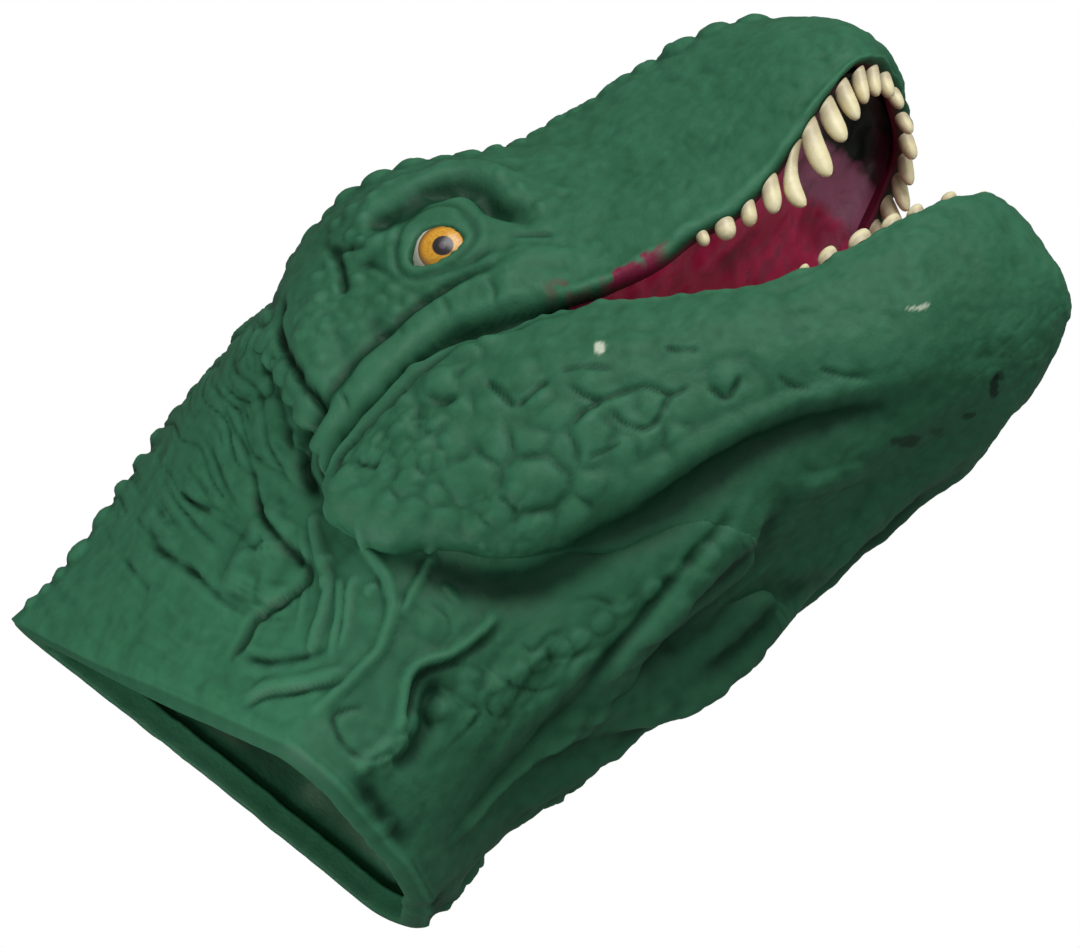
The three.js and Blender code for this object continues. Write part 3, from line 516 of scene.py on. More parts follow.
class Paint(Nodes):
    """One material: a Principled surface and what feeds it."""

    def __init__(self, name, **sockets):
        self.material = bpy.data.materials.new(name)
        super().__init__(self.material)
        self.surface = self.tree.nodes["Principled BSDF"]
        for socket, value in sockets.items():
            self.surface.inputs[socket.replace("_", " ")].default_value = value
        self.place = self.node("ShaderNodeTexCoord", {}, {}, "Object")

    def noise(self, size, detail=2.0, roughness=0.5):
        """Noise with lumps of a size in millimetres."""
        sockets = {"Vector": self.place, "Scale": 1 / (size * MM), "Detail": detail, "Roughness": roughness}
        return self.node("ShaderNodeTexNoise", {}, sockets, "Fac")

    def mark(self, name):
        """A piece's own attribute."""
        return self.node("ShaderNodeAttribute", {"attribute_name": name}, {}, "Fac")

    def band(self, value, low, high):
        """0 below low and 1 above high, or the other way round where low is the higher."""
        sockets = {0: value, 1: low, 2: high, 3: 0.0, 4: 1.0}
        return self.node("ShaderNodeMapRange", {"clamp": True}, sockets)

    def limited(self, value):
        """A value kept between 0 and 1."""
        return self.band(value, 0.0, 1.0)

    def patches(self, size, low, high, *more):
        """Noise of a size stretched from 0 at low to 1 at high."""
        stops = ((low, 0.0), (high, 1.0))
        return self.node("ShaderNodeValToRGB", {"stops": stops}, {"Fac": self.noise(size, *more)}, "Color")

    def mix(self, amount, first, second):
        """Two colours mixed, all of the second where the amount is 1."""
        settings = {"data_type": "RGBA"}
        return self.node("ShaderNodeMix", settings, {0: amount, 6: first, 7: second}, 2)

    def feed(self, **sockets):
        """Links wires to the surface's sockets."""
        for name, wire in sockets.items():
            self.tree.links.new(wire.socket, self.surface.inputs[name.replace("_", " ")])

    def bump(self, height, distance, strength, under=None):
        """A bump of a depth in millimetres, on another one if given."""
        sockets = {"Height": height, "Distance": distance * MM, "Strength": strength}
        if under:
            sockets["Normal"] = under
        return self.node("ShaderNodeBump", {}, sockets)


def colour(red, green, blue):
    """A linear colour from one written in ordinary picture values, 0 to 255."""
    return tuple((v / 255 / 12.92 if v <= 10 else ((v / 255 + 0.055) / 1.055) ** 2.4)
                 for v in (red, green, blue)) + (1,)


def green_rubber():
    """Satin green skin: blotches, flecks and dull patches, scuffs, painted highlights on raised places and
    painted shade in sunk ones.
    """
    paint = Paint("green_rubber", Roughness=0.5, Specular_IOR_Level=0.2)
    base = paint.mix(paint.patches(26, 0.3, 0.7, 3), colour(42, 97, 67), colour(52, 110, 80))
    base = paint.mix(paint.patches(2.2, 0.35, 0.75, 3) * 0.3, base, colour(58, 119, 88))
    base = paint.mix(paint.patches(5.5, 0.45, 0.75, 4, 0.6) * 0.35, base, colour(30, 82, 56))
    # painted highlights on raised places, and painted light on the neck's inner wall
    base = paint.mix(paint.mark("raised") * 0.3, base, colour(70, 130, 98))
    # painted shade in creases, grooves and sunk places
    base = paint.mix(paint.mark("hollow") * 0.9, base, colour(8, 50, 31))
    base = paint.mix(paint.mark("crimson"), base, colour(122, 30, 62))
    # pale and dark scuffs of wear, and painted light on the neck's inner wall
    worn = paint.mark("worn")
    base = paint.mix(paint.limited(worn), base, colour(196, 206, 184))
    base = paint.mix(paint.limited(0.0 - worn), base, colour(14, 26, 20))
    normal = paint.bump(paint.noise(3.5, 3), 0.5, 0.5)
    normal = paint.bump(paint.noise(0.7, 3, 0.6), 0.12, 0.6, normal)
    paint.feed(Base_Color=base, Roughness=paint.noise(6, 2) * 0.16 + 0.5, Normal=normal)
    return paint.material


def mouth_rubber():
    """Crimson lining, mottled to mauve and dark green at the front of the palate, with painted shade in its
    folds.
    """
    paint = Paint("mouth_rubber", Roughness=0.42, Specular_IOR_Level=0.5)
    base = paint.mix(paint.patches(9, 0.3, 0.72, 3), colour(190, 30, 82), colour(236, 62, 124))
    mottle = paint.noise(4, 4, 0.6) * 0.7
    mauve = paint.limited((paint.mark("mauve") + mottle - 0.3) * 1.6)
    base = paint.mix(mauve, base, colour(170, 104, 134))
    dark = paint.limited((paint.mark("dark_green") + mottle - 0.35) * 2.4)
    base = paint.mix(dark, base, colour(20, 32, 25))
    # painted shade in the low places between the lining's folds
    base = paint.mix(paint.mark("hollow"), base, colour(84, 18, 42))
    normal = paint.bump(paint.noise(1.6, 3), 0.25, 0.6)
    paint.feed(Base_Color=base, Normal=normal)
    return paint.material


def tooth_paint():
    """Cream paint, stained a little at the root."""
    paint = Paint("tooth_paint", Roughness=0.38, Specular_IOR_Level=0.5)
    base = paint.mix(paint.patches(3, 0.3, 0.7, 3), colour(232, 218, 168), colour(244, 234, 194))
    edge = paint.limited((paint.mark("root") + paint.noise(1.4, 3) * 0.8 - 0.4) * 1.5)
    base = paint.mix(edge, base, colour(206, 192, 158))
    normal = paint.bump(paint.noise(1.1, 3), 0.12, 0.5)
    paint.feed(Base_Color=base, Normal=normal)
    return paint.material


def eye_paint():
    """Amber iris with a dark edge round a dark pupil, by the distance from the pupil's middle in mm."""
    paint = Paint("eye_paint", Roughness=0.28, Specular_IOR_Level=0.5, Coat_Weight=0.25,
                  Coat_Roughness=0.2)
    out = paint.mark("out_from_pupil")
    speck = paint.noise(0.45, 4, 0.7)
    iris = paint.patches(0.45, 0.35, 0.65, 4, 0.7)
    base = paint.mix(iris, colour(206, 136, 26), colour(234, 178, 62))
    base = paint.mix(paint.band(out + speck * 1.2, 4.3, 5.6), base, colour(112, 62, 12))
    base = paint.mix(paint.band(out, 4.85, 5.0), base, colour(214, 208, 196))
    base = paint.mix(paint.band(out, 2.1, 1.85), base, colour(44, 38, 42))
    # a paler grey middle of the pupil: printed on the eye, with a painted reflection of its gloss
    base = paint.mix(paint.band(out + speck * 0.5, 1.15, 0.75), base, colour(92, 84, 90))
    paint.feed(Base_Color=base)
    return paint.material


PAINTS = {
    "skin": (green_rubber(), "skin_green"),
    "mouth": (mouth_rubber(), "mouth_crimson"),
    "tooth": (tooth_paint(), "tooth_cream"),
    "eye": (eye_paint(), "eye_amber"),
}


# Lines on the skin: half width and height in mm, share that fades at each end, then the places x, y
# in the picture, on the side that it shows. Both sides of the head get them.
FOLDS = [
    # brow ridge over the eye, and the small one under its crease
    (5.2, 1.3, 0.25, 330, 240, 345, 220, 370, 207, 395, 195, 418, 184, 440, 176, 462, 171, 486, 176,
     506, 184, 524, 196, 550, 210),
    (2.2, 1.2, 0.3, 352, 262, 372, 248, 390, 238, 410, 230),
    # soft fold above the cheek's
    (3.2, 1.0, 0.3, 450, 284, 476, 272, 502, 262, 530, 256, 570, 258, 610, 262),
    # rear plate of the cheek
    (6.0, 1.6, 0.3, 300, 300, 304, 340, 318, 376, 324, 410),
    (2.6, 1.0, 0.3, 350, 300, 364, 326, 384, 338),
    # veins of the neck
    (1.4, 1.3, 0.15, 310, 500, 315, 521, 317, 542, 322, 567, 325, 586, 321, 611, 314, 642, 310, 660),
    (1.0, 0.9, 0.2, 338, 575, 340, 592, 338, 610, 335, 632, 329, 658),
    (1.0, 1.0, 0.2, 356, 572, 350, 589, 348, 611, 346, 630, 340, 652),
    (1.4, 1.4, 0.15, 352, 520, 360, 534, 367, 549, 377, 564, 386, 577, 392, 599, 392, 617, 386, 634,
     380, 649, 367, 664, 355, 677, 339, 692, 321, 708, 303, 718),
    (1.2, 1.1, 0.2, 436, 546, 428, 560, 421, 574, 414, 589, 407, 605, 398, 618),
    (1.4, 1.8, 0.12, 498, 610, 489, 621, 480, 631, 461, 646, 446, 655, 430, 659, 415, 667, 407, 680,
     405, 696, 401, 712, 399, 734),
    (1.9, 1.0, 0.3, 236, 702, 254, 692, 272, 684, 306, 680, 336, 673, 352, 664),
    (1.4, 0.7, 0.3, 232, 664, 262, 672, 296, 668, 322, 662),
    (1.0, 0.7, 0.3, 430, 574, 446, 588, 462, 606),
    (1.0, 0.7, 0.3, 302, 520, 304, 556, 301, 600, 295, 640),
    # lobes beside the wrinkled patch
    (7.0, 1.6, 0.3, 232, 556, 256, 566, 282, 574),
    (4.6, 1.2, 0.3, 258, 510, 272, 526, 288, 544),
    # jawline above the throat
    (4.0, 1.6, 0.3, 600, 500, 650, 484, 700, 452, 752, 426, 810, 406, 870, 394, 940, 380),
]
CREASES = [
    # under the brow
    (3.3, 3.4, 0.2, 362, 226, 380, 223, 400, 212, 420, 200, 440, 190, 460, 185, 480, 192, 496, 203, 516,
     212, 541, 217),
    (1.6, 1.2, 0.3, 395, 214, 420, 204, 445, 194, 470, 192, 500, 206),
    # behind and under the eye
    (1.3, 1.5, 0.2, 321, 238, 337, 260, 342, 285, 355, 310, 375, 334),
    (2.6, 1.3, 0.4, 366, 318, 382, 328, 396, 326),
    (1.1, 0.9, 0.3, 328, 244, 342, 250, 357, 247, 372, 252),
    (1.0, 0.8, 0.3, 350, 268, 366, 262, 380, 268, 394, 277, 410, 280),
    (1.0, 0.8, 0.3, 420, 282, 446, 272, 472, 262, 500, 246),
    (1.0, 0.7, 0.3, 506, 232, 530, 236, 556, 232),
    # across the cheek's roll
    (0.8, 0.7, 0.3, 398, 322, 404, 340, 402, 362),
    (0.8, 0.7, 0.3, 366, 356, 374, 372, 372, 396),
    (0.7, 0.6, 0.3, 338, 392, 348, 404, 350, 424),
    (0.8, 0.6, 0.3, 440, 300, 450, 312, 446, 330),
    (0.7, 0.5, 0.3, 486, 280, 496, 294, 494, 312),
    # scalloped edge of the cheek plate over the neck
    (1.5, 2.6, 0.12, 284, 292, 281, 314, 278, 331, 282, 347, 296, 369, 303, 383, 316, 398, 320, 411,
     309, 429, 304, 454, 306, 478, 314, 498, 324, 508),
    (3.0, 1.6, 0.3, 305, 450, 308, 476, 318, 500),
    # long wrinkles of the neck
    (0.8, 0.7, 0.2, 206, 372, 214, 384, 229, 414, 243, 449, 254, 481, 256, 503, 271, 524, 286, 542),
    (0.7, 0.6, 0.2, 228, 352, 237, 372, 257, 389, 264, 414, 268, 442, 282, 471, 294, 494),
    (0.7, 0.5, 0.2, 252, 336, 268, 364, 280, 396, 288, 430, 296, 462),
    (0.8, 0.5, 0.2, 180, 488, 189, 499, 221, 521, 246, 539, 264, 556),
    (1.3, 0.9, 0.25, 143, 521, 157, 546, 179, 564, 198, 578),
    (0.8, 0.5, 0.25, 121, 553, 139, 578, 150, 590),
    (0.8, 0.6, 0.2, 180, 560, 200, 578, 221, 599, 250, 617),
    (0.7, 0.4, 0.3, 196, 420, 212, 452, 226, 486, 240, 510),
    (0.7, 0.4, 0.3, 176, 446, 196, 478, 214, 504, 238, 524),
    (0.7, 0.4, 0.3, 158, 470, 176, 500, 200, 530, 226, 552),
    (0.6, 0.4, 0.3, 132, 510, 146, 530, 160, 540),
    # round the wrinkled patch
    (1.3, 1.7, 0.12, 250, 486, 258, 508, 271, 527, 292, 552, 304, 564, 304, 580, 289, 596, 267, 611,
     252, 621, 239, 642, 229, 664),
    (1.0, 0.9, 0.2, 304, 581, 279, 599, 257, 615, 246, 636, 236, 658),
    (1.0, 0.8, 0.25, 270, 540, 256, 548, 236, 550),
    (1.0, 0.8, 0.25, 240, 652, 262, 660, 300, 656, 330, 646),
    (1.0, 0.8, 0.25, 236, 712, 262, 696, 296, 692, 330, 686, 352, 676),
    # beside the thick cord
    (1.0, 1.1, 0.2, 506, 618, 488, 638, 466, 654, 446, 664, 424, 674, 414, 690, 410, 712, 406, 738),
    # flat scale at the cord's foot, and plates low on the neck
    (0.7, 0.7, 0.1, 366, 706, 345, 710, 333, 718, 337, 734, 346, 747, 364, 760, 386, 752, 396, 738),
    (0.6, 0.4, 0.2, 420, 600, 444, 612, 450, 632, 436, 646),
    (0.6, 0.4, 0.2, 478, 656, 497, 675, 506, 683, 492, 694, 488, 711, 520, 716),
    (0.6, 0.4, 0.2, 506, 683, 536, 690, 560, 682),
    (0.6, 0.4, 0.2, 515, 640, 533, 650, 548, 636, 566, 632),
    (0.6, 0.4, 0.2, 443, 684, 450, 690, 470, 704, 480, 712, 462, 734, 444, 752),
    (0.6, 0.4, 0.2, 443, 684, 430, 704, 426, 720, 436, 734),
    (0.6, 0.4, 0.2, 446, 668, 470, 664, 484, 680, 470, 700),
    # between the plates of the jaw
    (0.8, 1.0, 0.2, 486, 380, 500, 393, 515, 407),
    (0.7, 0.8, 0.2, 515, 407, 528, 396, 540, 386, 550, 380),
    (0.7, 0.8, 0.2, 565, 380, 583, 395, 600, 399, 618, 392, 632, 386),
    (0.6, 0.6, 0.2, 556, 372, 584, 368, 614, 368),
    (0.7, 0.8, 0.2, 572, 428, 586, 410, 602, 401),
    (0.7, 0.8, 0.2, 606, 404, 622, 422, 640, 428, 654, 424, 665, 404, 672, 392),
    (0.6, 0.7, 0.2, 614, 396, 643, 387, 672, 394, 690, 384),
    (0.6, 0.6, 0.2, 586, 460, 603, 452, 622, 443),
    (0.6, 0.6, 0.2, 355, 459, 371, 468, 382, 462),
    (0.7, 0.7, 0.2, 706, 384, 727, 398, 740, 374),
    (0.6, 0.6, 0.2, 664, 345, 682, 350, 700, 349),
    (0.6, 0.6, 0.2, 777, 374, 793, 386, 812, 390),
    (0.6, 0.5, 0.2, 818, 367, 836, 374, 854, 377, 874, 380),
    (1.2, 0.7, 0.3, 427, 394, 442, 402, 460, 398),
]
# Lines that run from one skin on to another, laid on each where the picture shows them
SEEN_FOLDS = [
    # rolled fold of the cheek
    (3.9, 1.5, 0.15, 556, 268, 530, 274, 500, 286, 472, 297, 446, 311, 420, 329, 396, 350, 372, 374,
     350, 400, 332, 427, 321, 450, 315, 472, 320, 496),
    # tendon of the throat
    (3.0, 1.7, 0.25, 790, 470, 764, 498, 732, 536, 700, 575, 675, 608, 650, 640, 625, 669, 600, 695,
     574, 720, 545, 745, 522, 771, 500, 800, 480, 822, 456, 850),
    (2.4, 0.7, 0.3, 620, 610, 592, 646, 560, 682, 526, 722, 496, 764, 470, 804),
    (2.6, 0.5, 0.4, 722, 520, 734, 500, 756, 478),
    (2.2, 0.8, 0.3, 780, 492, 830, 480, 880, 466),
    (3.4, 0.9, 0.3, 560, 620, 520, 660, 486, 706, 460, 752),
    (2.6, 2.0, 0.15, 646, 645, 620, 672, 594, 699, 566, 724, 538, 750, 514, 778, 492, 806, 472, 830,
     456, 856),
    # strand that turns back above the rim
    (2.0, 1.4, 0.2, 404, 712, 398, 732, 384, 750, 366, 762, 350, 770),
]
SEEN_CREASES = [
    # under the bulge and the jaw's edge
    (5.2, 3.4, 0.2, 372, 545, 410, 560, 450, 574, 490, 584, 530, 584, 566, 570, 610, 544, 656, 522, 706,
     484, 768, 444, 830, 420, 893, 404, 950, 384),
    # between the cheek's fold and the jaw, and above the fold
    (1.9, 4.2, 0.1, 580, 304, 545, 306, 512, 316, 480, 326, 456, 332, 436, 348, 414, 366, 397, 384, 378,
     404, 358, 422, 342, 440, 330, 462, 328, 484),
    (1.3, 1.3, 0.2, 520, 262, 492, 270, 462, 280, 430, 298, 404, 318, 380, 340, 354, 366, 334, 392, 316,
     420, 304, 446, 300, 470, 304, 492),
    (3.0, 1.8, 0.2, 806, 482, 782, 512, 752, 550, 718, 592, 684, 634, 652, 668, 620, 700, 590, 728, 556,
     758, 530, 788, 504, 822, 474, 858),
    (1.2, 0.7, 0.25, 742, 486, 716, 524, 684, 562, 656, 598, 628, 636, 598, 668, 566, 700),
    (2.6, 2.0, 0.15, 640, 684, 612, 712, 582, 740, 552, 768, 526, 796, 502, 828, 482, 860),
    (3.4, 1.7, 0.35, 352, 770, 368, 792, 386, 818, 402, 842, 416, 862),
    (2.6, 1.5, 0.25, 442, 668, 430, 698, 424, 728, 412, 754, 392, 770),
    (0.8, 0.4, 0.3, 595, 642, 574, 658, 561, 677),
    (0.8, 0.4, 0.3, 520, 672, 548, 658, 580, 655, 610, 640),
    (0.8, 0.4, 0.3, 560, 610, 590, 598, 620, 604, 640, 590),
]
# Rounded knobs along the silhouette: place in the picture, radius in its pixels
NAPE_KNOBS = [
    (20, 626, 7), (36, 611, 8), (50, 598, 8), (65, 582, 9), (84, 555, 14), (107, 524, 13),
    (127, 497, 12), (143, 469, 10), (158, 443, 12), (177, 417, 11), (193, 395, 12), (212, 370, 15),
    (245, 338, 19), (275, 310, 15), (293, 290, 10),
]
CROWN_KNOBS = [
    (299, 262, 9), (315, 234, 11), (324, 211, 9), (342, 191, 14), (376, 178, 15), (411, 172, 16),
    (440, 164, 11), (466, 160, 14), (494, 152, 10), (514, 141, 10), (534, 131, 10), (555, 119, 11),
    (575, 112, 10), (590, 105, 9), (606, 95, 11), (623, 83, 11), (645, 67, 13), (664, 56, 10),
    (682, 47, 16), (716, 36, 15), (752, 24, 16),
]
THROAT_KNOBS = [
    (850, 552, 9), (800, 600, 10), (750, 655, 11), (726, 676, 9), (700, 694, 10), (675, 710, 9),
    (650, 725, 10), (628, 735, 9), (608, 747, 11), (590, 764, 10), (572, 776, 10), (550, 789, 11),
    (526, 810, 10), (502, 831, 11), (480, 846, 10), (460, 862, 11), (444, 884, 10), (434, 908, 9),
]
# Rounded scales: place in the picture, radius in its pixels, height in mm
SCALES = [
    (357, 242, 9, 0.9), (356, 279, 9, 0.9), (391, 288, 9, 0.7), (326, 558, 7, 0.9), (324, 583, 7, 0.9),
    (371, 590, 8, 1.0), (427, 627, 12, 0.5), (449, 711, 12, 0.5), (467, 680, 12, 0.5),
    (330, 262, 9, 0.6), (318, 300, 10, 0.5), (330, 330, 10, 0.5), (346, 352, 9, 0.5),
    (380, 300, 9, 0.5), (300, 322, 8, 0.5), (352, 212, 11, 0.8), (372, 200, 9, 0.6),
    (334, 224, 10, 0.9), (350, 236, 8, 0.7), (364, 222, 8, 0.6), (390, 190, 9, 0.5), (316, 276, 9, 0.7),
    (336, 286, 8, 0.5), (306, 344, 9, 0.6), (322, 362, 9, 0.6), (500, 178, 9, 0.5), (520, 190, 8, 0.5),
    (540, 206, 8, 0.5), (560, 190, 9, 0.4), (410, 300, 8, 0.4), (430, 292, 8, 0.4), (394, 310, 7, 0.4),
]
# Plates of the jaw's bulge: middle in the picture, radius in its pixels, height in mm
PLATES = [
    (344, 478, 15, 1.0), (341, 455, 12, 0.7), (366, 452, 14, 0.8), (360, 432, 11, 0.6),
    (376, 416, 11, 0.7), (398, 424, 14, 0.8), (402, 398, 11, 0.7), (418, 370, 14, 0.9),
    (442, 382, 21, 2.2), (440, 350, 12, 0.8), (464, 352, 12, 0.6), (484, 342, 14, 0.9),
    (470, 376, 12, 0.6), (492, 402, 17, 0.9), (462, 410, 14, 0.7), (432, 424, 14, 0.7),
    (384, 474, 14, 0.9), (408, 483, 15, 1.0), (424, 452, 16, 0.8), (452, 444, 14, 0.7),
    (467, 475, 22, 1.7), (440, 492, 14, 0.7), (496, 446, 17, 0.8), (533, 483, 28, 2.4),
    (528, 440, 18, 0.8), (560, 450, 16, 0.6), (556, 414, 20, 0.6), (593, 436, 23, 1.6),
    (624, 450, 16, 0.8), (590, 482, 18, 0.8), (570, 512, 16, 0.7), (536, 524, 17, 0.8),
    (500, 516, 16, 0.8), (476, 530, 15, 0.7), (446, 520, 15, 0.7), (416, 512, 13, 0.7),
    (388, 500, 13, 0.7), (360, 496, 12, 0.6), (626, 412, 20, 0.6), (648, 440, 14, 0.5),
    (681, 442, 18, 0.7), (650, 404, 16, 0.5), (590, 384, 14, 0.4), (540, 396, 14, 0.5),
    (520, 368, 20, 0.5), (560, 352, 20, 0.3), (602, 350, 20, 0.3), (656, 370, 20, 0.4),
    (700, 408, 22, 0.4), (720, 376, 16, 0.4), (690, 352, 20, 0.3), (768, 347, 16, 0.4),
    (740, 400, 20, 0.3), (630, 484, 16, 0.5), (660, 470, 14, 0.4),
]
# Patches where small scales show: place, radius in the picture's pixels, strength
PEBBLES = [
    (400, 450, 70, 1.0), (500, 520, 60, 0.7), (700, 700, 60, 0.9), (620, 745, 50, 1.0),
    (540, 800, 60, 1.0), (470, 860, 50, 1.0), (850, 570, 60, 0.7), (780, 640, 60, 0.8),
    (470, 640, 40, 0.4), (330, 320, 60, 0.6), (650, 420, 50, 0.3), (290, 600, 40, 0.4),
    (620, 260, 60, 0.3), (500, 700, 60, 0.5),
]
# Marks on the finish: place, radius across and up in the picture's pixels, amount; below 0 is dark
SCUFFS = [
    (600, 348, 5, 6, 1.0), (916, 308, 9, 2, 0.8), (926, 305, 4, 2, 0.6), (994, 388, 5, 14, -0.8),
    (1000, 376, 6, 5, -0.6), (970, 416, 8, 4, -0.6), (906, 441, 16, 6, -0.6), (936, 432, 10, 5, -0.4),
    (1006, 356, 8, 4, -0.3),
]
# Paint at the mouth's corner, in the picture: spray's middle and reach, and where drips begin and end
SPRAY = (566, 290, 30, 15)
DRIPS = (596, 614, 650, 672)
INNER_CRIMSON = (600, 640)      # the skins' inner faces are crimson to the right of this
# Corners of the right eye's opening in the picture
EYE_OPENING = [
    (414, 268), (413, 258), (415, 250), (418, 240), (424, 233), (432, 229), (442, 227), (452, 229),
    (460, 235), (463, 240), (458, 247), (446, 256), (436, 262), (426, 267), (418, 270),
]

PIXEL = 0.182            # a picture's pixel on the head, in mm
KNOB_STEP = 0.8          # spacing of the points that knobs are set on
NAPE_SIDE = 2.5          # the nape's knobs reach over its middle from here
REACH = 2.6              # how far a line's mark reaches, as a share of its half width


def beside(points, line, width, fade, scale=1.0):
    """Points near a line: which, how far from it as a share of its half width, and its ends' fade."""
    reach = width * REACH / scale
    low, high = line.min(0) - reach, line.max(0) + reach
    close = np.flatnonzero(((points > low) & (points < high)).all(1))
    distance, along = near_line(points[close], line)
    ends = ramp(along, 0, fade) * ramp(1 - along, 0, fade)
    return close, distance * scale / width, ends


def pixel_line(places):
    """Pixels of a line as pairs."""
    return np.reshape(places, (-1, 2)).astype(float)


SKINS = Skins([NECK_FORM, SKULL_FORM, JAW_FORM])


def laid(table):
    """Lines of a table laid on the skin under their pixels."""
    return [(width, tall, fade, smooth_line(SKINS.under(pixel_line(places))))
            for width, tall, fade, *places in table]


def spots_for(rows, spots):
    """Spots with their radius in mm and what else their rows hold."""
    return [(spot, row[2] * PIXEL, *row[3:]) for spot, row in zip(spots, rows)]


def silhouette_spots(rows, form, on_middle=False):
    """Points of a form that face across the view, nearest to places in the picture."""
    points = form.half(*form.spaced(KNOB_STEP))
    if on_middle:
        spots = points[:, 0] * [1, 0, 1] - [0, NAPE_SIDE, 0]
    else:
        spots, leans = (np.concatenate([grid, grid * [1, -1, 1]]) for grid in (points, outward(points)))
        spots = spots[np.abs(leans @ TOWARD) < 0.15]
    x, y, _ = on_picture(spots)
    found = np.array([spots[np.argmin(np.hypot(x - row[0], y - row[1]))] for row in rows])
    return right_side(found)


FOLD_LINES = laid(FOLDS)
CREASE_LINES = laid(CREASES)
NAPE_SPOTS = spots_for(NAPE_KNOBS, silhouette_spots(NAPE_KNOBS, NECK_FORM, on_middle=True))
CROWN_SPOTS = spots_for(CROWN_KNOBS, silhouette_spots(CROWN_KNOBS, SKULL_FORM))
THROAT_SPOTS = spots_for(THROAT_KNOBS, silhouette_spots(THROAT_KNOBS, NECK_FORM))
SCALE_SPOTS, PLATE_SPOTS, PEBBLE_SPOTS = (spots_for(rows, SKINS.under([row[:2] for row in rows]))
                                          for rows in (SCALES, PLATES, PEBBLES))
EYE_MIDDLE = skull_point(-13.7, 23.1, -31.0)
EYE_RADIUS = 8.0
PUPIL = SKINS.under([(443, 246)])[0]
# Rings round the eye's opening: distance from its edge, half width and height in mm
LID_RINGS = ((1.2, 1.0, 0.6), (2.5, 0.5, -0.4), (3.8, 0.9, 0.3), (5.2, 0.7, -0.25))


def plated(side, height, hollow):
    """Flat many-sided plates round given middles, with a shallow crease and painted shade where two of them
    meet.
    """
    middles = np.array([spot for spot, _, _ in PLATE_SPOTS])
    low, high = middles.min(0) - 8, middles.max(0) + 8
    close = np.flatnonzero(((side > low) & (side < high)).all(1))
    near = np.full(len(close), 9.0)
    second = near.copy()
    tall = np.zeros(len(close))
    bent = side[close] + 1.3 * np.stack([noise(side[close], 6, 40 + k) for k in range(3)], -1)
    uneven = 0.55 + 0.75 * ramp(noise(side[close], 7, 44), -0.7, 0.7)
    for spot, radius, rise in PLATE_SPOTS:
        d = np.linalg.norm(bent - spot, axis=1) / radius
        second = np.minimum(second, np.maximum(near, d))
        tall = np.where(d < near, rise, tall)
        near = np.minimum(near, d)
    inside = 1 - ramp(near, 1.15, 1.6)
    parting = ramp(second - near, -0.1, 0.7)
    crown = parting * (0.25 + dome(near)) - 0.12 * (1 - parting)
    height[close] += 0.8 * uneven * tall * inside * crown
    groove = (1 - ramp(second - near, 0, 0.2)) * ramp(tall, 0.6, 1.4)
    hollow[close] = np.maximum(hollow[close], 0.1 * uneven * inside * groove)


def outline_distance(x, y, corners):
    """Distance of picture places from an outline, below 0 inside it."""
    corners = np.array(corners, float)
    points = np.stack([x, y], -1)
    closed = np.concatenate([corners, corners[:1]])
    distance, _ = near_line(points, closed)
    inside = np.zeros(len(x), bool)
    for (x0, y0), (x1, y1) in zip(closed[:-1], closed[1:]):
        crosses = (y0 > y) != (y1 > y)
        inside ^= crosses & (x < (x1 - x0) * (y - y0) / (y1 - y0 + 1e-9) + x0)
    return np.where(inside, -distance, distance)


def lidded(side, normals, height, hollow):
    """Skin drawn over the eyeball up to its opening's edge, in folds, and sunk behind the ball in it, with
    painted shade round the opening.
    """
    close = np.flatnonzero(np.linalg.norm(side - EYE_MIDDLE, axis=1) < 15)
    if not len(close):
        return
    spots, lean = side[close], normals[close]
    away = spots - EYE_MIDDLE
    level = (away * lean).sum(1)
    ball = np.sqrt(np.maximum(EYE_RADIUS ** 2 - (away ** 2).sum(1) + level ** 2, 0)) - level
    x, y, _ = on_picture(spots + lean * np.clip(ball, -2, 4)[:, None])
    out = outline_distance(x, y, EYE_OPENING) * PIXEL
    rings = sum(tall * np.exp(-((out - at) / wide) ** 2) for at, wide, tall in LID_RINGS)
    lid = np.maximum(ball + 0.25, height[close] * 0.6) + rings
    share = 1 - ramp(out, 4.2, 6.5)
    over = height[close] * (1 - share) + np.maximum(lid, height[close] * 0.4) * share
    edge = ramp(out, -0.25, 0.3)
    height[close] = np.minimum(height[close], ball - 1.4) * (1 - edge) + over * edge
    # painted shade in a ring under the lids' fold and along the opening's edge
    dark = np.exp(-((out - 2.4) / 0.5) ** 2) * 0.5 + np.exp(-((out - 0.05) / 0.25) ** 2) * 0.8
    hollow[close] = np.maximum(hollow[close], np.clip(dark, 0, 1))


DEEP = 2.8               # depth at which a crease's painted shade is at its darkest, in mm


def creased(close, tall, cut, height, hollow):
    """A crease cut in a skin, with painted shade in it, by its share of the full depth at each point."""
    height[close] -= tall * cut
    hollow[close] = np.maximum(hollow[close], cut * min(tall / DEEP, 1))


def seen_marks(side, facing, height, hollow):
    """Folds and creases by how far a point shows from each line in the picture."""
    seen = ramp(facing @ TOWARD, 0.02, 0.3)
    x, y, _ = on_picture(side)
    places = np.stack([x, y], -1)
    for table, sign in ((SEEN_FOLDS, 1), (SEEN_CREASES, -1)):
        for width, tall, fade, *pixels in table:
            line = smooth_line(pixel_line(pixels))
            close, d, ends = beside(places, line, width, fade, PIXEL)
            ends = ends * seen[close]
            if sign > 0:
                beads = 1 + 0.5 * noise(side[close], 1.3 * width, 63)
                height[close] += tall * ends * beads * dome(d, 0.8)
            else:
                creased(close, tall, ends * valley(d), height, hollow)


WRINKLE_MIDDLE = (372, 340)     # pixel that the neck's wrinkles run round
FILLET = 9.0             # how far apart jaw and neck start to run into each other at the throat
THROAT_ZONE = ((24, -34, 36), (999, 34, 118))      # lowest and highest corner of where they do


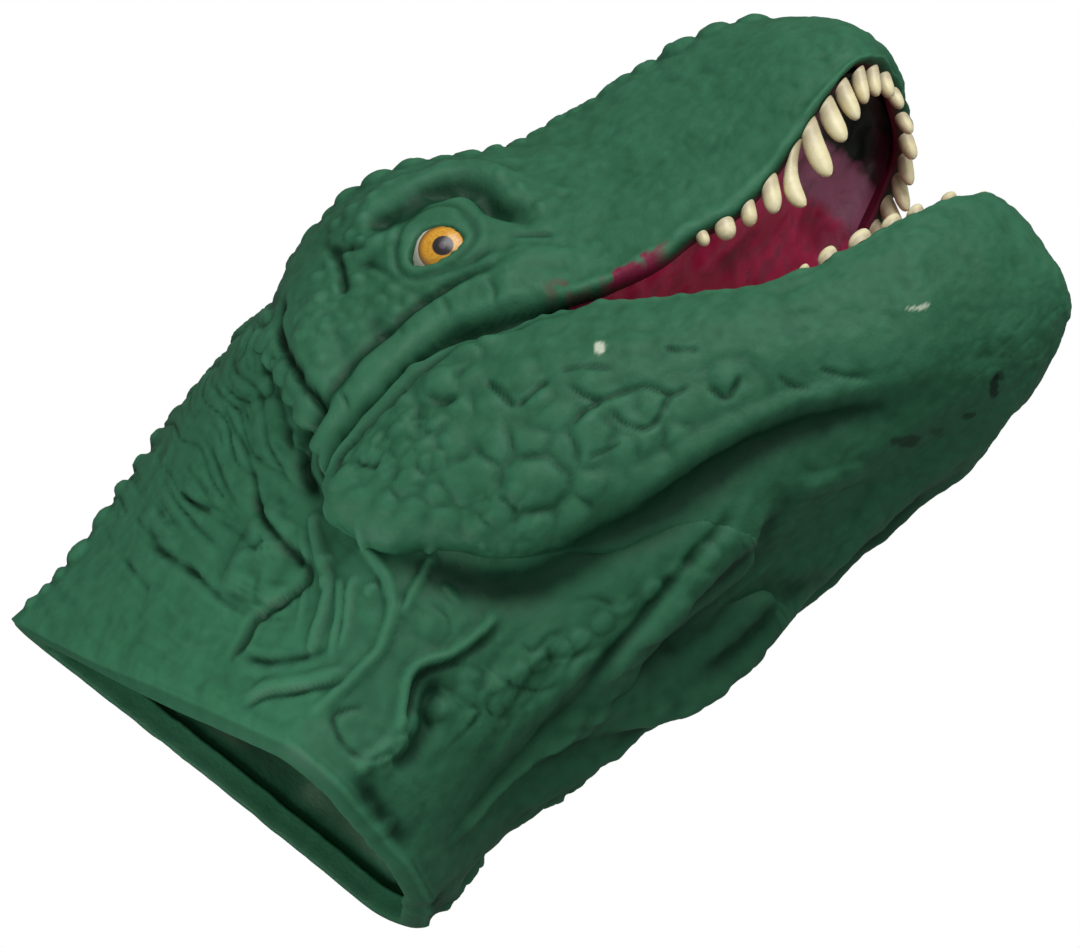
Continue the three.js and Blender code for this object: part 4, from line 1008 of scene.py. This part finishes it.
class Neighbour:
    """A form's surface as points and normals, for the distance of other points from it."""

    def __init__(self, form):
        points = form.full(*form.spaced(SMOOTH_STEP))
        self.points, self.normals = points.reshape(-1, 3), outward(points).reshape(-1, 3)
        self.tree = KDTree(len(self.points))
        for k, point in enumerate(self.points):
            self.tree.insert(point, k)
        self.tree.balance()

    def distance(self, spots):
        """How far spots lie outside the surface, from its nearest points, below 0 inside it."""
        found = np.empty(len(spots))
        for k, spot in enumerate(spots):
            near = self.tree.find_n(spot, 4)
            which = [i for _, i, _ in near]
            level = ((spot - self.points[which]) * self.normals[which]).sum(1).mean()
            found[k] = math.copysign(max(abs(level), near[0][2] - SMOOTH_STEP), level)
        return found


def run_together(grid, neighbour):
    """Height that rounds off the corner where a skin meets its neighbour at the throat."""
    points = grid.reshape(-1, 3)
    low, high = THROAT_ZONE
    close = np.flatnonzero(((points > low) & (points < high)).all(1))
    height = np.zeros(len(points))
    apart = neighbour.distance(points[close])
    share = ramp(points[close, 0], 25, 38) * (1 - ramp(np.abs(points[close, 1]), 24, 34))
    blend = np.maximum(FILLET - apart, 0) ** 2 / (4 * FILLET)
    under = np.maximum(FILLET / 4 + 1.5 * apart, -2.5)
    height[close] = share * np.where(apart > 0, blend, under)
    return height.reshape(grid.shape[:2])


# Knobs: spots, how much their width counts, foot and height as shares of the radius, roundness
KNOBS = ((NAPE_SPOTS, 0.4, 1.15, 0.42, 0.6), (CROWN_SPOTS, 1, 1.15, 0.4, 0.6),
         (THROAT_SPOTS, 1, 1.2, 0.4, 0.7))


def relief(points, normals, eyed):
    """Height above the plain form in mm, and the painted shade at each place, from 0 to 1."""
    side = right_side(points)
    facing = normals * np.where(points[:, 1:2] > 0, [1, -1, 1], [1, 1, 1])
    height = 0.4 * layered(side, 14, 2, 5) + 0.3 * layered(side, 4.2, 3, 9)
    hollow = np.zeros(len(side))
    for width, tall, fade, line in FOLD_LINES:
        close, d, ends = beside(side, line, width, fade)
        beads = 1 + 0.16 * noise(side[close], 2.4 * width, 61)
        height[close] += tall * ends * beads * dome(d, 1.2)
    for width, tall, fade, line in CREASE_LINES:
        close, d, ends = beside(side, line, width, fade)
        uneven = 1 + 0.45 * noise(side[close], 4, 65)
        creased(close, tall, ends * valley(d) * uneven, height, hollow)
    for spots, across, wider, share, power in KNOBS:
        for spot, radius in spots:
            d = np.linalg.norm((side - spot) * [1, across, 1], axis=1) / (radius * wider)
            height += share * radius * dome(d, power)
    for spot, radius, tall in SCALE_SPOTS:
        height += tall * dome(np.linalg.norm(side - spot, axis=1) / radius)
    plated(side, height, hollow)
    seen_marks(side, facing, height, hollow)
    pebbly = np.zeros(len(side))
    for spot, radius, strength in PEBBLE_SPOTS:
        d = np.linalg.norm(side - spot, axis=1) / radius
        pebbly = np.maximum(pebbly, strength * (1 - ramp(d, 0.5, 1.0)))
    on_head = ramp(points[:, 2], 70, 84)
    patchy = ramp(noise(side, 9, 15), -0.5, 0.4)
    for size, seed, tall, parting in ((3.0, 3, pebbly * 0.4, 0.4), (7.5, 13, 0.16 * patchy * on_head, 0.35),
                                      (3.4, 17, 0.13 * (1 - patchy) * on_head, 0.4)):
        near, second = cells(side, size, seed)
        height = height + tall * ramp(second - near, 0.0, parting)
    height = height + wrinkled(side)
    if eyed:
        lidded(side, facing, height, hollow)
    return height, np.clip(hollow, 0, 1)


def wrinkled(side):
    """Pleats and fine wrinkles that run round a place in the picture, in bands across the neck."""
    x, y, _ = on_picture(side)
    bend = 14 * np.stack([noise(side, 11, 70 + k) for k in range(2)], -1)
    away = np.hypot(x - WRINKLE_MIDDLE[0], y - WRINKLE_MIDDLE[1]) + bend[:, 0]
    turn = np.arctan2(y - WRINKLE_MIDDLE[1], WRINKLE_MIDDLE[0] - x) * 260 + bend[:, 1]
    on_neck = 1 - ramp(side[:, 2], 66, 84)
    zone = on_neck * ramp(x, 80, 150) * (1 - ramp(x, 262, 320)) * ramp(side[:, 2], 12, 26)

    def stretched(across, along, seed):
        """Noise whose lumps are drawn out round the place, by their width and length."""
        return noise(np.stack([away / across, turn / along, 0 * x], -1), 1.0, seed)

    pleat = np.clip(np.abs(stretched(15, 85, 81)), 0, 0.4) ** 0.6 * 2
    fine = np.clip(np.abs(stretched(6.5, 46, 83)), 0, 0.4) ** 0.7 * 0.8
    by_rim = (1 - ramp(side[:, 2], 16, 34)) * (1 - ramp(x, 230, 300))
    deep = ramp(noise(side, 13, 89), -0.6, 0.5)
    return zone * deep * (pleat + fine - 1) + 0.16 * by_rim * stretched(5, 130, 87)


def worked(points, normals, eyed=False):
    """Relief on a grid, worked out on its points as one list."""
    shape = points.shape[:2]
    height, hollow = relief(points.reshape(-1, 3), normals.reshape(-1, 3), eyed)
    return height.reshape(shape), hollow.reshape(shape)


def softened(grid, reach, around=False):
    """Average of a grid's values over a square of the given reach."""
    for axis in (0, 1):
        ends = [(0, 0), (0, 0)]
        ends[axis] = (reach + 1, reach)
        padded = np.pad(grid, ends, mode="wrap" if around and axis == 1 else "edge")
        total = np.cumsum(padded, axis=axis)
        high = np.take(total, np.arange(2 * reach + 1, total.shape[axis]), axis=axis)
        low = np.take(total, np.arange(0, total.shape[axis] - 2 * reach - 1), axis=axis)
        grid = (high - low) / (2 * reach + 1)
    return grid


def painted_shade_and_light(height, hollow, around=False):
    """Painted shade, from the creases' own and from sunk places, and painted highlights on raised places,
    by how far each lies below or above what is round it.
    """
    rise = height - softened(height, 3, around)
    wide = height - softened(height, 9, around)
    painted_sunk_shade = np.clip(-rise / 0.5, 0, 1) * 0.4 + np.clip(-wide / 1.6, 0, 1) * 0.5
    return np.clip(hollow * 0.85 + painted_sunk_shade, 0, 1), np.clip(rise / 0.4, 0, 1)


def scuffed(points):
    """Amount of wear at points of the skin, above 0 pale and below 0 dark, on the right side only."""
    x, y, _ = on_picture(points)
    total = np.zeros_like(x)
    ragged = 0.35 * noise(points, 1.2, 91)
    for px, py, wide, tall, amount in SCUFFS:
        d = np.hypot((x - px) / wide, (y - py) / tall) + ragged
        total += amount * (1 - ramp(d, 0.7, 1.15))
    return total * (points[..., 1] < 0)


TIP_STEPS = (0.35, 0.65, 0.88, 0.985)       # shares of the way to the middle of a closed tip


def closed_tip(points):
    """Rows added to a grid's end, drawn in to the middle of its last row."""
    last = points[-1]
    middle = last.mean(axis=0)
    return np.concatenate([points] + [(last + (middle - last) * f)[None] for f in TIP_STEPS])


def from_edge(points, axis, end):
    """Length from a grid's edge, along one axis and averaged over the other."""
    run = travelled(points, axis)
    run = run[-1] - run if end else run
    return run[None] if axis == 1 else run[:, None]


LIP_ROUND = 1.5          # radius of the lips' corners
SCALLOP = 6.5            # spacing of the scallops on the skull's rear edge
SCALLOP_DEEP = 1.6


def skin_sheet(name, form, step, body, replaces, back, crimson_lip=False, neighbour=None):
    """A closed skin: the form's full width with its relief, and a plainer wall behind it."""
    stations, places = form.spaced(step)
    plain = form.full(stations, places)
    lips = np.minimum(from_edge(plain, 1, False), from_edge(plain, 1, True))
    rear = from_edge(plain, 0, False)
    if crimson_lip:
        across = travelled(plain[:1].repeat(2, 0), 1)
        wave = np.abs(np.sin(np.pi * (across - across[-1] / 2) / SCALLOP))
        plain = plain + back * (SCALLOP_DEEP * wave[None] * (1 - ramp(rear, 0, 8)))[..., None]
    plain = closed_tip(plain)
    added = np.full((len(TIP_STEPS), 1), rear[-1, 0])
    rear = np.concatenate([rear, added])
    normals = outward(plain)
    height, hollow = worked(plain, normals, eyed=crimson_lip)
    if neighbour:
        height = height + run_together(plain, neighbour)
    # a beaded ridge along the lips, and their rounded edge
    beads = noise(plain, 2.2, 95)
    ahead = ramp(rear, 30, 60)
    off_tip = 1 - ramp(rear, rear[-1, 0] - 9, rear[-1, 0] - 3)
    height = height + off_tip * ahead * (0.3 + 0.5 * beads) * np.exp(-((lips - 1.9) / 1.1) ** 2)
    drop = np.maximum(1 - np.minimum(lips, rear) / LIP_ROUND, 0)
    height = height - off_tip * LIP_ROUND * (1 - np.sqrt(1 - np.minimum(drop, 1) ** 2))
    front = plain + normals * height[..., None]
    points = sheet_points(front, np.maximum(WALL + height, THIN), normals, BACK_EVERY)
    # painted shade in creases and sunk places, and painted highlights on raised ones
    painted_sunk_shade, raised = painted_shade_and_light(height, hollow)
    worn = scuffed(front)
    flesh = np.zeros_like(height)
    x, y, _ = on_picture(right_side(plain))
    inner = ramp(x, *INNER_CRIMSON)
    if crimson_lip:
        ragged = 1.4 * noise(plain, 1.5, 97)
        across, up, wide, tall = SPRAY
        spray = np.clip(1 - np.hypot((x - across) / wide, (y - up) / tall), 0, 1)
        by_corner = ramp(x, *DRIPS[:2]) * (1 - ramp(x, *DRIPS[2:]))
        drips = by_corner * (1 - ramp(lips + 1.6 * ragged, 1.5, 2.2))
        flesh = np.clip(drips + 0.6 * spray * ramp(ragged, -0.3, 0.6), 0, 1)

    def both(grid, behind=None):
        """A mark on the skin's outer points and then on its inner ones, as one list."""
        behind = grid if behind is None else behind
        return np.concatenate([grid.reshape(-1), behind[::BACK_EVERY, ::BACK_EVERY].reshape(-1)])

    faces = sheet_faces(*plain.shape[:2], BACK_EVERY)
    return make_piece(name, points, faces, body, "skin", replaces, hollow=both(painted_sunk_shade), raised=both(raised),
                      worn=both(worn), crimson=both(flesh, inner))


EYE_ROOM = 4             # how far the neck draws in where it passes behind the eye
RIM_HALF = 35.5          # the rim's half width
RIM_AHEAD = 15           # the rim's widest place ahead of its middle
# The rim's rounded lip and the hem inside it: how far in from the outside, and how high
RIM_LIP = ((0.08, 2.9), (0.3, 2.5), (0.7, 2.0), (1.3, 1.4), (2.0, 0.85), (2.8, 0.4), (3.5, 0.1), (4.1, 0))
HEM = ((4.7, 0.15), (5.0, 0.7), (5.1, 2.0), (5.1, 4.4), (5.0, 4.9), (4.4, 5.15), (3.2, 5.3), (2.6, 5.8),
       (2.7, 7.2))


def neck_skin():
    """The neck: outside, rim's lip, hem and inside, as one ring drawn along a closed profile."""
    z, places = NECK_FORM.spaced(WIDE_STEP)
    z = z[z > 3.3]
    outside = NECK_FORM.full(z[::-1], places)[:, :0:-1]
    normals = outward(outside, around=True)
    height, hollow = worked(outside, normals)
    height = height + run_together(outside, Neighbour(JAW_FORM))
    from_eye = np.linalg.norm(right_side(outside) - EYE_MIDDLE, axis=-1)
    height = height - EYE_ROOM * (1 - ramp(from_eye, 12, 18))
    rim_wave = 0.35 * noise(outside * [1, 1, 0], 9, 99)
    height = height * ramp(outside[..., 2], -1, 4) + rim_wave * (1 - ramp(outside[..., 2], 1, 8))
    outside = outside + normals * height[..., None]
    middle = np.array([HINGE[0] - RIM_BACK + RIM_AHEAD, 0, 0])
    rim = NECK_FORM.full(np.array([0.0]), places)[0, :0:-1] + normals[-1] * height[-1][:, None]

    def drawn_in(ring, wall, level):
        """A ring shrunk towards the rim's middle by a share that a wall takes, and set higher."""
        share = 1 - wall / RIM_HALF
        return (ring - middle) * [share, share, 1] + middle + [0, 0, level]

    slope = (0.3 + 0.7 * ramp(rim[:, 0], -46, -20))[:, None] * [0, 0, 1]
    lip = [drawn_in(rim, w, 0) + slope * h for w, h in RIM_LIP] + [drawn_in(rim, w, h) for w, h in HEM]
    inside = []
    for level in np.linspace(10, NECK_TOP, 24):
        ring = NECK_FORM.full(np.array([level]), places)[0, :0:-1]
        lump = 0.5 * layered(ring, 9, 2, 103)[:, None]
        inside.append(drawn_in(ring, WALL, 0) + normals[-1] * lump * ramp(level, 10, 24))
    points = np.concatenate([outside, lip, inside])
    rows, columns = points.shape[:2]
    marks = {key: np.zeros((rows, columns)) for key in ("hollow", "raised", "worn", "crimson")}
    foot = len(hollow)
    # outside: painted shade in creases and sunk places, painted highlights on raised ones
    marks["hollow"][:foot], marks["raised"][:foot] = painted_shade_and_light(height, hollow, True)
    # painted highlight along the rim's rounded lip
    marks["raised"][foot - 1:foot + 3] = 0.15
    # painted shade across the rim's foot and the hem's step
    marks["hollow"][foot + 3:foot + 11] = 0.5
    # inner wall lightened in uneven streaks: painted light where the inside lies in shade
    streaks = noise(np.array(inside) * [1, 1, 0.3], 6, 105)
    marks["raised"][foot + len(lip):] = 0.9
    marks["worn"][foot + len(lip):] = np.clip(0.3 * streaks + 0.07, 0.04, 0.28)
    return make_piece("neck_skin", points.reshape(-1, 3), [grid_faces(rows, columns, True, True)], "head",
                      "skin", ["neck_sleeve"], **{key: grid.reshape(-1) for key, grid in marks.items()})


# Mouth

PARTING = np.array([0.309, 0, 0.951])    # way the jaw's skin lies from its parting line
LINING_SINK = 0.6        # lining below the lips' edge
LINING_CLEAR = 1.1       # between the lining and the skin
LINING_WALL = 1.4
FLOOR_VAULT = 6.0        # depth of the mouth's floor


def skull_set_back(s):
    """Stations of the skull's inner face for those of its outer one, a wall short at the tip."""
    return SKULL_END + (s - SKULL_END) * (1 - WALL / (SKULL_TIP - SKULL_END))


def jaw_set_back(a):
    """Stations of the jaw's inner face for those of its outer one, a wall short at both ends."""
    whole = JAW_TIP - JAW_END
    return JAW_END + WALL + (a - JAW_END) * (whole - 2 * WALL) / whole


def edge_sizes(form, stations, lip):
    """A skin's edge at stations: its height, its outer half width and its inner one."""
    places = np.linspace(form.first, form.last, 40)
    whole = sections(form.table, stations, places, form.mirror_start)
    outer = whole[:, lip, 1]
    return whole[:, lip, 0], outer, outer * np.maximum(1 - WALL / whole[..., 1].max(1), 0.4)


def edge_line(form, lip, set_back, start, end):
    """Middle of a skin's edge on the right side, from the tip back, and how far from the tip's middle."""
    stations = np.linspace(start, end, 400)
    middle = (stations + set_back(stations)) / 2
    height = edge_sizes(form, middle, lip)[0]
    _, outer, inner = edge_sizes(form, stations, lip)
    line = form.place(middle, height, -(outer + inner) / 2)
    run = np.concatenate([[0], np.cumsum(np.linalg.norm(np.diff(line, axis=0), axis=1))])
    return line, run + abs(line[0, 1])


def unit(v):
    """A way of length 1."""
    return v / np.linalg.norm(v)


def way_of(place, run, rise):
    """Way in space of a run and rise of a form's own axes."""
    return unit(place(run, rise, 0.0) - place(0.0, 0.0, 0.0))


UPPER_EDGE, UPPER_RUN = edge_line(SKULL_FORM, -1, skull_set_back, 76.59, 12)
LOWER_EDGE, LOWER_RUN = edge_line(JAW_FORM, 0, jaw_set_back, 79.35, 14)
SKULL_DOWN = way_of(skull_point, 0, -1)
SKULL_BACK = way_of(skull_point, -1, 0)
JAW_UP = way_of(jaw_point, 0, -1)
JAW_BACK = way_of(jaw_point, -1, 0)

# Teeth of one side: distance round the lip from the front, length, width, lean back, bow back in mm
UPPER_TEETH = [
    (69.4, 2.3, 2.5, 0, 0), (64.6, 3.2, 4.1, 0.05, 0.1), (59.2, 3.5, 3.8, 0.1, 0.2),
    (52.8, 5.6, 5.2, 0.16, 0.2), (45, 10.8, 5.2, 0.25, 1.6), (38.8, 10, 6, 0.05, 0.5),
    (32.4, 7.8, 5.2, -0.02, 0.3), (26.8, 7.2, 4.4, 0.02, 0.2), (21.6, 6.2, 3.6, 0.2, 0.2),
    (16.6, 5.2, 3.2, 0.24, 0.2), (11, 4.4, 3.2, 0.1, 0.1), (4.6, 3.8, 2.8, 0, 0),
]
LOWER_TEETH = [
    (52, 1.5, 2.4, 0.05, 0), (46.6, 2.6, 4.4, 0.05, 0.1), (39.4, 2.7, 5.2, 0.05, 0.1),
    (32, 2.4, 4.6, 0.05, 0.1), (26.4, 2.0, 3.8, 0.05, 0.1), (18.6, 1.8, 3.4, 0.05, 0),
    (9.6, 1.8, 3.2, 0.05, 0),
]
# A tooth's outline: share of its length, share of its width
TOOTH_TAPER = [
    (-0.12, 0.9), (0, 0.98), (0.12, 1), (0.28, 0.98), (0.45, 0.94), (0.6, 0.87), (0.75, 0.76),
    (0.86, 0.61), (0.94, 0.42), (0.985, 0.22), (1, 0.03),
]
TOOTH_SIDES = 20
TOOTH_THICK = 1.05       # thickest part, as a share of the wall
ROOT_SINK = 0.5          # middle of the root out from the lip's edge


def tooth_rows(edge, run, down, back, row):
    """Rings of a tooth: ovals on a bowed middle line, sunk a little in the lip at the root."""
    distance, length, width, lean, bow = row
    k = int(np.clip(np.searchsorted(run, distance), 1, len(run) - 2))
    along = unit(edge[min(k + 3, len(run) - 1)] - edge[max(k - 3, 0)])
    face = unit(down - along * (down @ along))
    across = np.cross(face, along)
    axis = unit(down + back * lean)
    thick = min(width, WALL * TOOTH_THICK)
    turns = np.linspace(0, 2 * np.pi, TOOTH_SIDES, endpoint=False)
    rings = []
    for h, share in TOOTH_TAPER:
        middle = edge[k] + face * ROOT_SINK + axis * h * length + back * bow * 4 * h * (1 - h)
        oval = np.cos(turns)[:, None] * along * width + np.sin(turns)[:, None] * across * thick
        rings.append(middle + oval * share / 2)
    return np.array(rings)


def make_teeth(name, edge, run, down, back, rows, body):
    """Teeth of both sides, each its own piece in place of its plain solid."""
    shares = np.repeat([h for h, _ in TOOTH_TAPER], TOOTH_SIDES)
    first = np.arange(TOOTH_SIDES)[None]
    sides = grid_faces(len(TOOTH_TAPER), TOOTH_SIDES, across=True)
    for number, row in enumerate(rows, 1):
        rings = tooth_rows(edge, run, down, back, row)
        normal = np.cross(rings[3, 0] - rings[2, 0], rings[2, 1] - rings[2, 0])
        outside = normal @ (rings[2, 0] - rings[2].mean(0))
        for side, flip in (("right", 1), ("left", -1)):
            points = rings * [1, flip, 1]
            parts = [sides, first[:, ::-1], first + shares.size - TOOTH_SIDES]
            if outside * flip <= 0:
                parts = [part[:, ::-1] for part in parts]
            node = f"{name}_tooth_{side}_{number}"
            make_piece(f"{node}_cast", points.reshape(-1, 3), parts, body, "tooth", [node],
                       root=1 - np.clip(shares / 0.5, 0, 1))


def lining(name, rows, body, replaces, upper):
    """A lining: a smooth sheet between the lips, vaulted away from them, with a wall behind it."""
    height, half, depth, place, stations = rows
    f = np.linspace(-1, 1, 81)
    rise = height[:, None] + LINING_SINK + depth[:, None] * np.sqrt(1 - np.abs(f) ** 3)
    wide = (half - LINING_CLEAR)[:, None] * f
    along = np.broadcast_to(stations[:, None], rise.shape)
    plain = place(along, rise, wide)
    back = place(along, rise + LINING_WALL, wide)
    normals = plain - back
    normals /= np.linalg.norm(normals, axis=-1, keepdims=True)
    folds = 0.8 * layered(plain, 8, 3, 31)
    ridge = 0.1 * np.sin(stations * 1.4)[:, None] * ramp(1 - np.abs(f), 0, 0.3)[None]
    edge = ramp(1 - np.abs(f), 0, 0.12)[None]
    front = plain + normals * ((folds + ridge) * edge)[..., None]
    points = np.concatenate([front.reshape(-1, 3), back.reshape(-1, 3)])
    total = rise.size
    order = np.arange(total).reshape(rise.shape)
    rim = np.concatenate([order[0], order[1:, -1], order[-1, -2::-1], order[-2:0:-1, 0]])
    strip = np.stack([rim, np.roll(rim, -1), np.roll(rim, -1) + total, rim + total], -1)
    faces = [grid_faces(*rise.shape), grid_faces(*rise.shape, start=total)[:, ::-1], strip[:, ::-1]]
    # painted shade in the low places between the folds
    painted_sunk_shade = 0.55 * ramp(-folds, 0, 0.8)
    ahead = stations[:, None] - 0.35 * np.abs(wide)
    mauve = upper * ramp(ahead, 47, 53)
    dark = upper * ramp(ahead, 57, 63)
    marks = {key: np.concatenate([grid.reshape(-1)] * 2)
             for key, grid in (("hollow", painted_sunk_shade), ("mauve", mauve), ("dark_green", dark))}
    return make_piece(name, points, faces, body, "mouth", replaces, **marks)


def palate_rows():
    """The palate's edge and vault along the skull, the vault reaching up to the table's own roof."""
    s = np.linspace(3, 76, 110)
    height, _, inner = edge_sizes(SKULL_FORM, s, -1)
    roof = rows_at(SKULL, s)[:, 14]
    return height, inner, np.maximum(roof - height, 1), skull_point, skull_set_back(s)


def floor_rows():
    """The mouth floor's edge and vault along the jaw, the vault a share of its width."""
    a = np.linspace(7, 78.6, 110)
    height, _, inner = edge_sizes(JAW_FORM, a, 0)
    return height, inner, np.minimum(FLOOR_VAULT, inner * 0.3), jaw_point, jaw_set_back(a)


BALL_RINGS, BALL_TURNS = 40, 72
BALL_BACK = 2.6          # flat back of the ball's shown part, from the ball's middle


def eyeball(side, node):
    """The part of an eye's ball that shows, with the distance from its pupil marked."""
    middle = EYE_MIDDLE * [1, -side, 1]
    lean = np.linspace(0, math.acos(BALL_BACK / EYE_RADIUS), BALL_RINGS)
    turns = np.linspace(0, 2 * np.pi, BALL_TURNS, endpoint=False)
    lean, turns = np.meshgrid(lean, turns, indexing="ij")
    way = np.stack([np.sin(lean) * np.cos(turns), np.cos(lean) * side, np.sin(lean) * np.sin(turns)], -1)
    points = middle + EYE_RADIUS * way
    spot = middle + EYE_RADIUS * unit(PUPIL * [1, -side, 1] - middle)
    out = np.linalg.norm(points - spot, axis=-1)
    faces = grid_faces(BALL_RINGS, BALL_TURNS, across=True)
    cap = (np.arange(BALL_TURNS) + (BALL_RINGS - 1) * BALL_TURNS)[None]
    if side > 0:
        faces, cap = faces[:, ::-1], cap[:, ::-1]
    return make_piece(f"{node}_painted", points.reshape(-1, 3), [faces, cap], "head", "eye", [node],
                      out_from_pupil=out.reshape(-1))


# Camera, light and floor, in metres

HEAD_MIDDLE = np.array([0, 0, 0.09])
WORLD_FILL = 0.2
FLOOR_HALF = 6.0
FLOOR_LEVEL = -0.0002    # just under the rim
# Lamps: name, direction, distance, size and power in watts
LAMPS = (
    ("key", UPWARD * 1.0 + TOWARD * 0.6 + RIGHTWARD * 0.25, 1.3, 0.9, 13.6),
    ("mouth_fill", TOWARD + RIGHTWARD * 0.3, 1.8, 0.5, 1.8),
    ("front_fill", TOWARD * 0.7 + UPWARD * 0.35 + RIGHTWARD, 1.8, 1.2, 3.8),
    ("under_fill", (-0.45, -0.55, -0.8), 1.6, 1.0, 1.2),
    ("rim_fill", (0, -0.35, -1), 0.22, 0.07, 0.17),
)


def set_camera():
    """A camera of the picture's focal length, turned and placed as the picture was taken."""
    data = bpy.data.cameras.new("camera")
    data.sensor_width = 36.0
    data.lens = FOCAL_PIXELS * data.sensor_width / PICTURE[0]
    data.clip_end = 20.0
    camera = add_object("camera", data)
    axes = np.eye(4)
    axes[:3, :3] = np.stack([RIGHTWARD, UPWARD, TOWARD], -1)
    axes[:3, 3] = CAMERA_SPOT * MM
    camera.matrix_world = axes.T.tolist()
    bpy.context.scene.camera = camera


def area_light(name, direction, distance, size, power):
    """A square lamp that faces the head from a direction."""
    data = bpy.data.lights.new(name, "AREA")
    data.size, data.energy = size, power
    lamp = add_object(name, data)
    way = np.array(direction) / np.linalg.norm(direction)
    lamp.location = (HEAD_MIDDLE + way * distance).tolist()
    lamp.rotation_euler = Vector(way.tolist()).to_track_quat("Z", "Y").to_euler()


def set_world():
    """White behind everything for the camera, and a soft even light for all else."""
    scene = bpy.context.scene
    scene.view_settings.view_transform = "Standard"
    scene.world = bpy.data.worlds.new("studio")
    studio = Nodes(scene.world)
    seen = studio.node("ShaderNodeLightPath", {}, {}, "Is Camera Ray")
    white = studio.node("ShaderNodeBackground", {}, {"Color": (1, 1, 1, 1)})
    fill = studio.node("ShaderNodeBackground", {}, {"Color": (0.95, 1, 0.98, 1), "Strength": WORLD_FILL})
    studio.show(studio.node("ShaderNodeMixShader", {}, {0: seen, 1: fill, 2: white}), "World Output")


def set_floor():
    """A pale floor that only the camera sees, and only from above."""
    paint = Paint("pale_floor", Base_Color=(0.8, 0.8, 0.8, 1), Roughness=0.7)
    below = paint.node("ShaderNodeNewGeometry", {}, {}, "Backfacing")
    camera = paint.node("ShaderNodeLightPath", {}, {}, "Is Camera Ray")
    hidden = paint.node("ShaderNodeMath", {"operation": "MAXIMUM"}, {0: below, 1: 1 - camera})
    clear = paint.node("ShaderNodeBsdfTransparent", {}, {})
    surface = Wire(paint, paint.surface.outputs[0])
    paint.show(paint.node("ShaderNodeMixShader", {}, {0: hidden, 1: surface, 2: clear}), "Material Output")
    mesh = bpy.data.meshes.new("floor")
    corners = [(x * FLOOR_HALF, y * FLOOR_HALF, 0) for x, y in ((-1, -1), (1, -1), (1, 1), (-1, 1))]
    mesh.from_pydata(corners, [], [(0, 1, 2, 3)])
    mesh.materials.append(paint.material)
    floor = add_object("floor", mesh)
    floor.location.z = FLOOR_LEVEL


set_camera()
set_world()
set_floor()
for lamp in LAMPS:
    area_light(*lamp)

neck_skin()
skin_sheet("skull_skin_outer", SKULL_FORM, STEP, "head", ["skull_skin"], SKULL_BACK, crimson_lip=True)
ACROSS = ("head", "jaw", tuple((HINGE - 6 * PARTING) * MM), tuple((HINGE + 8 * PARTING) * MM))
skin_sheet("jaw_skin_outer", JAW_FORM, WIDE_STEP, ACROSS,
           ["lower_jaw_skin", "throat_fold", "cheek_bulge_right", "cheek_bulge_left"], JAW_BACK,
           neighbour=Neighbour(NECK_FORM))
make_teeth("upper", UPPER_EDGE, UPPER_RUN, SKULL_DOWN, SKULL_BACK, UPPER_TEETH, "head")
make_teeth("lower", LOWER_EDGE, LOWER_RUN, JAW_UP, JAW_BACK, LOWER_TEETH, "jaw")
lining("palate", palate_rows(), "head", ["palate_lining"], 1.0)
lining("mouth_floor", floor_rows(), "jaw", ["mouth_floor_lining"], 0.0)
eyeball(-1, "eyeball_right")
eyeball(1, "eyeball_left")
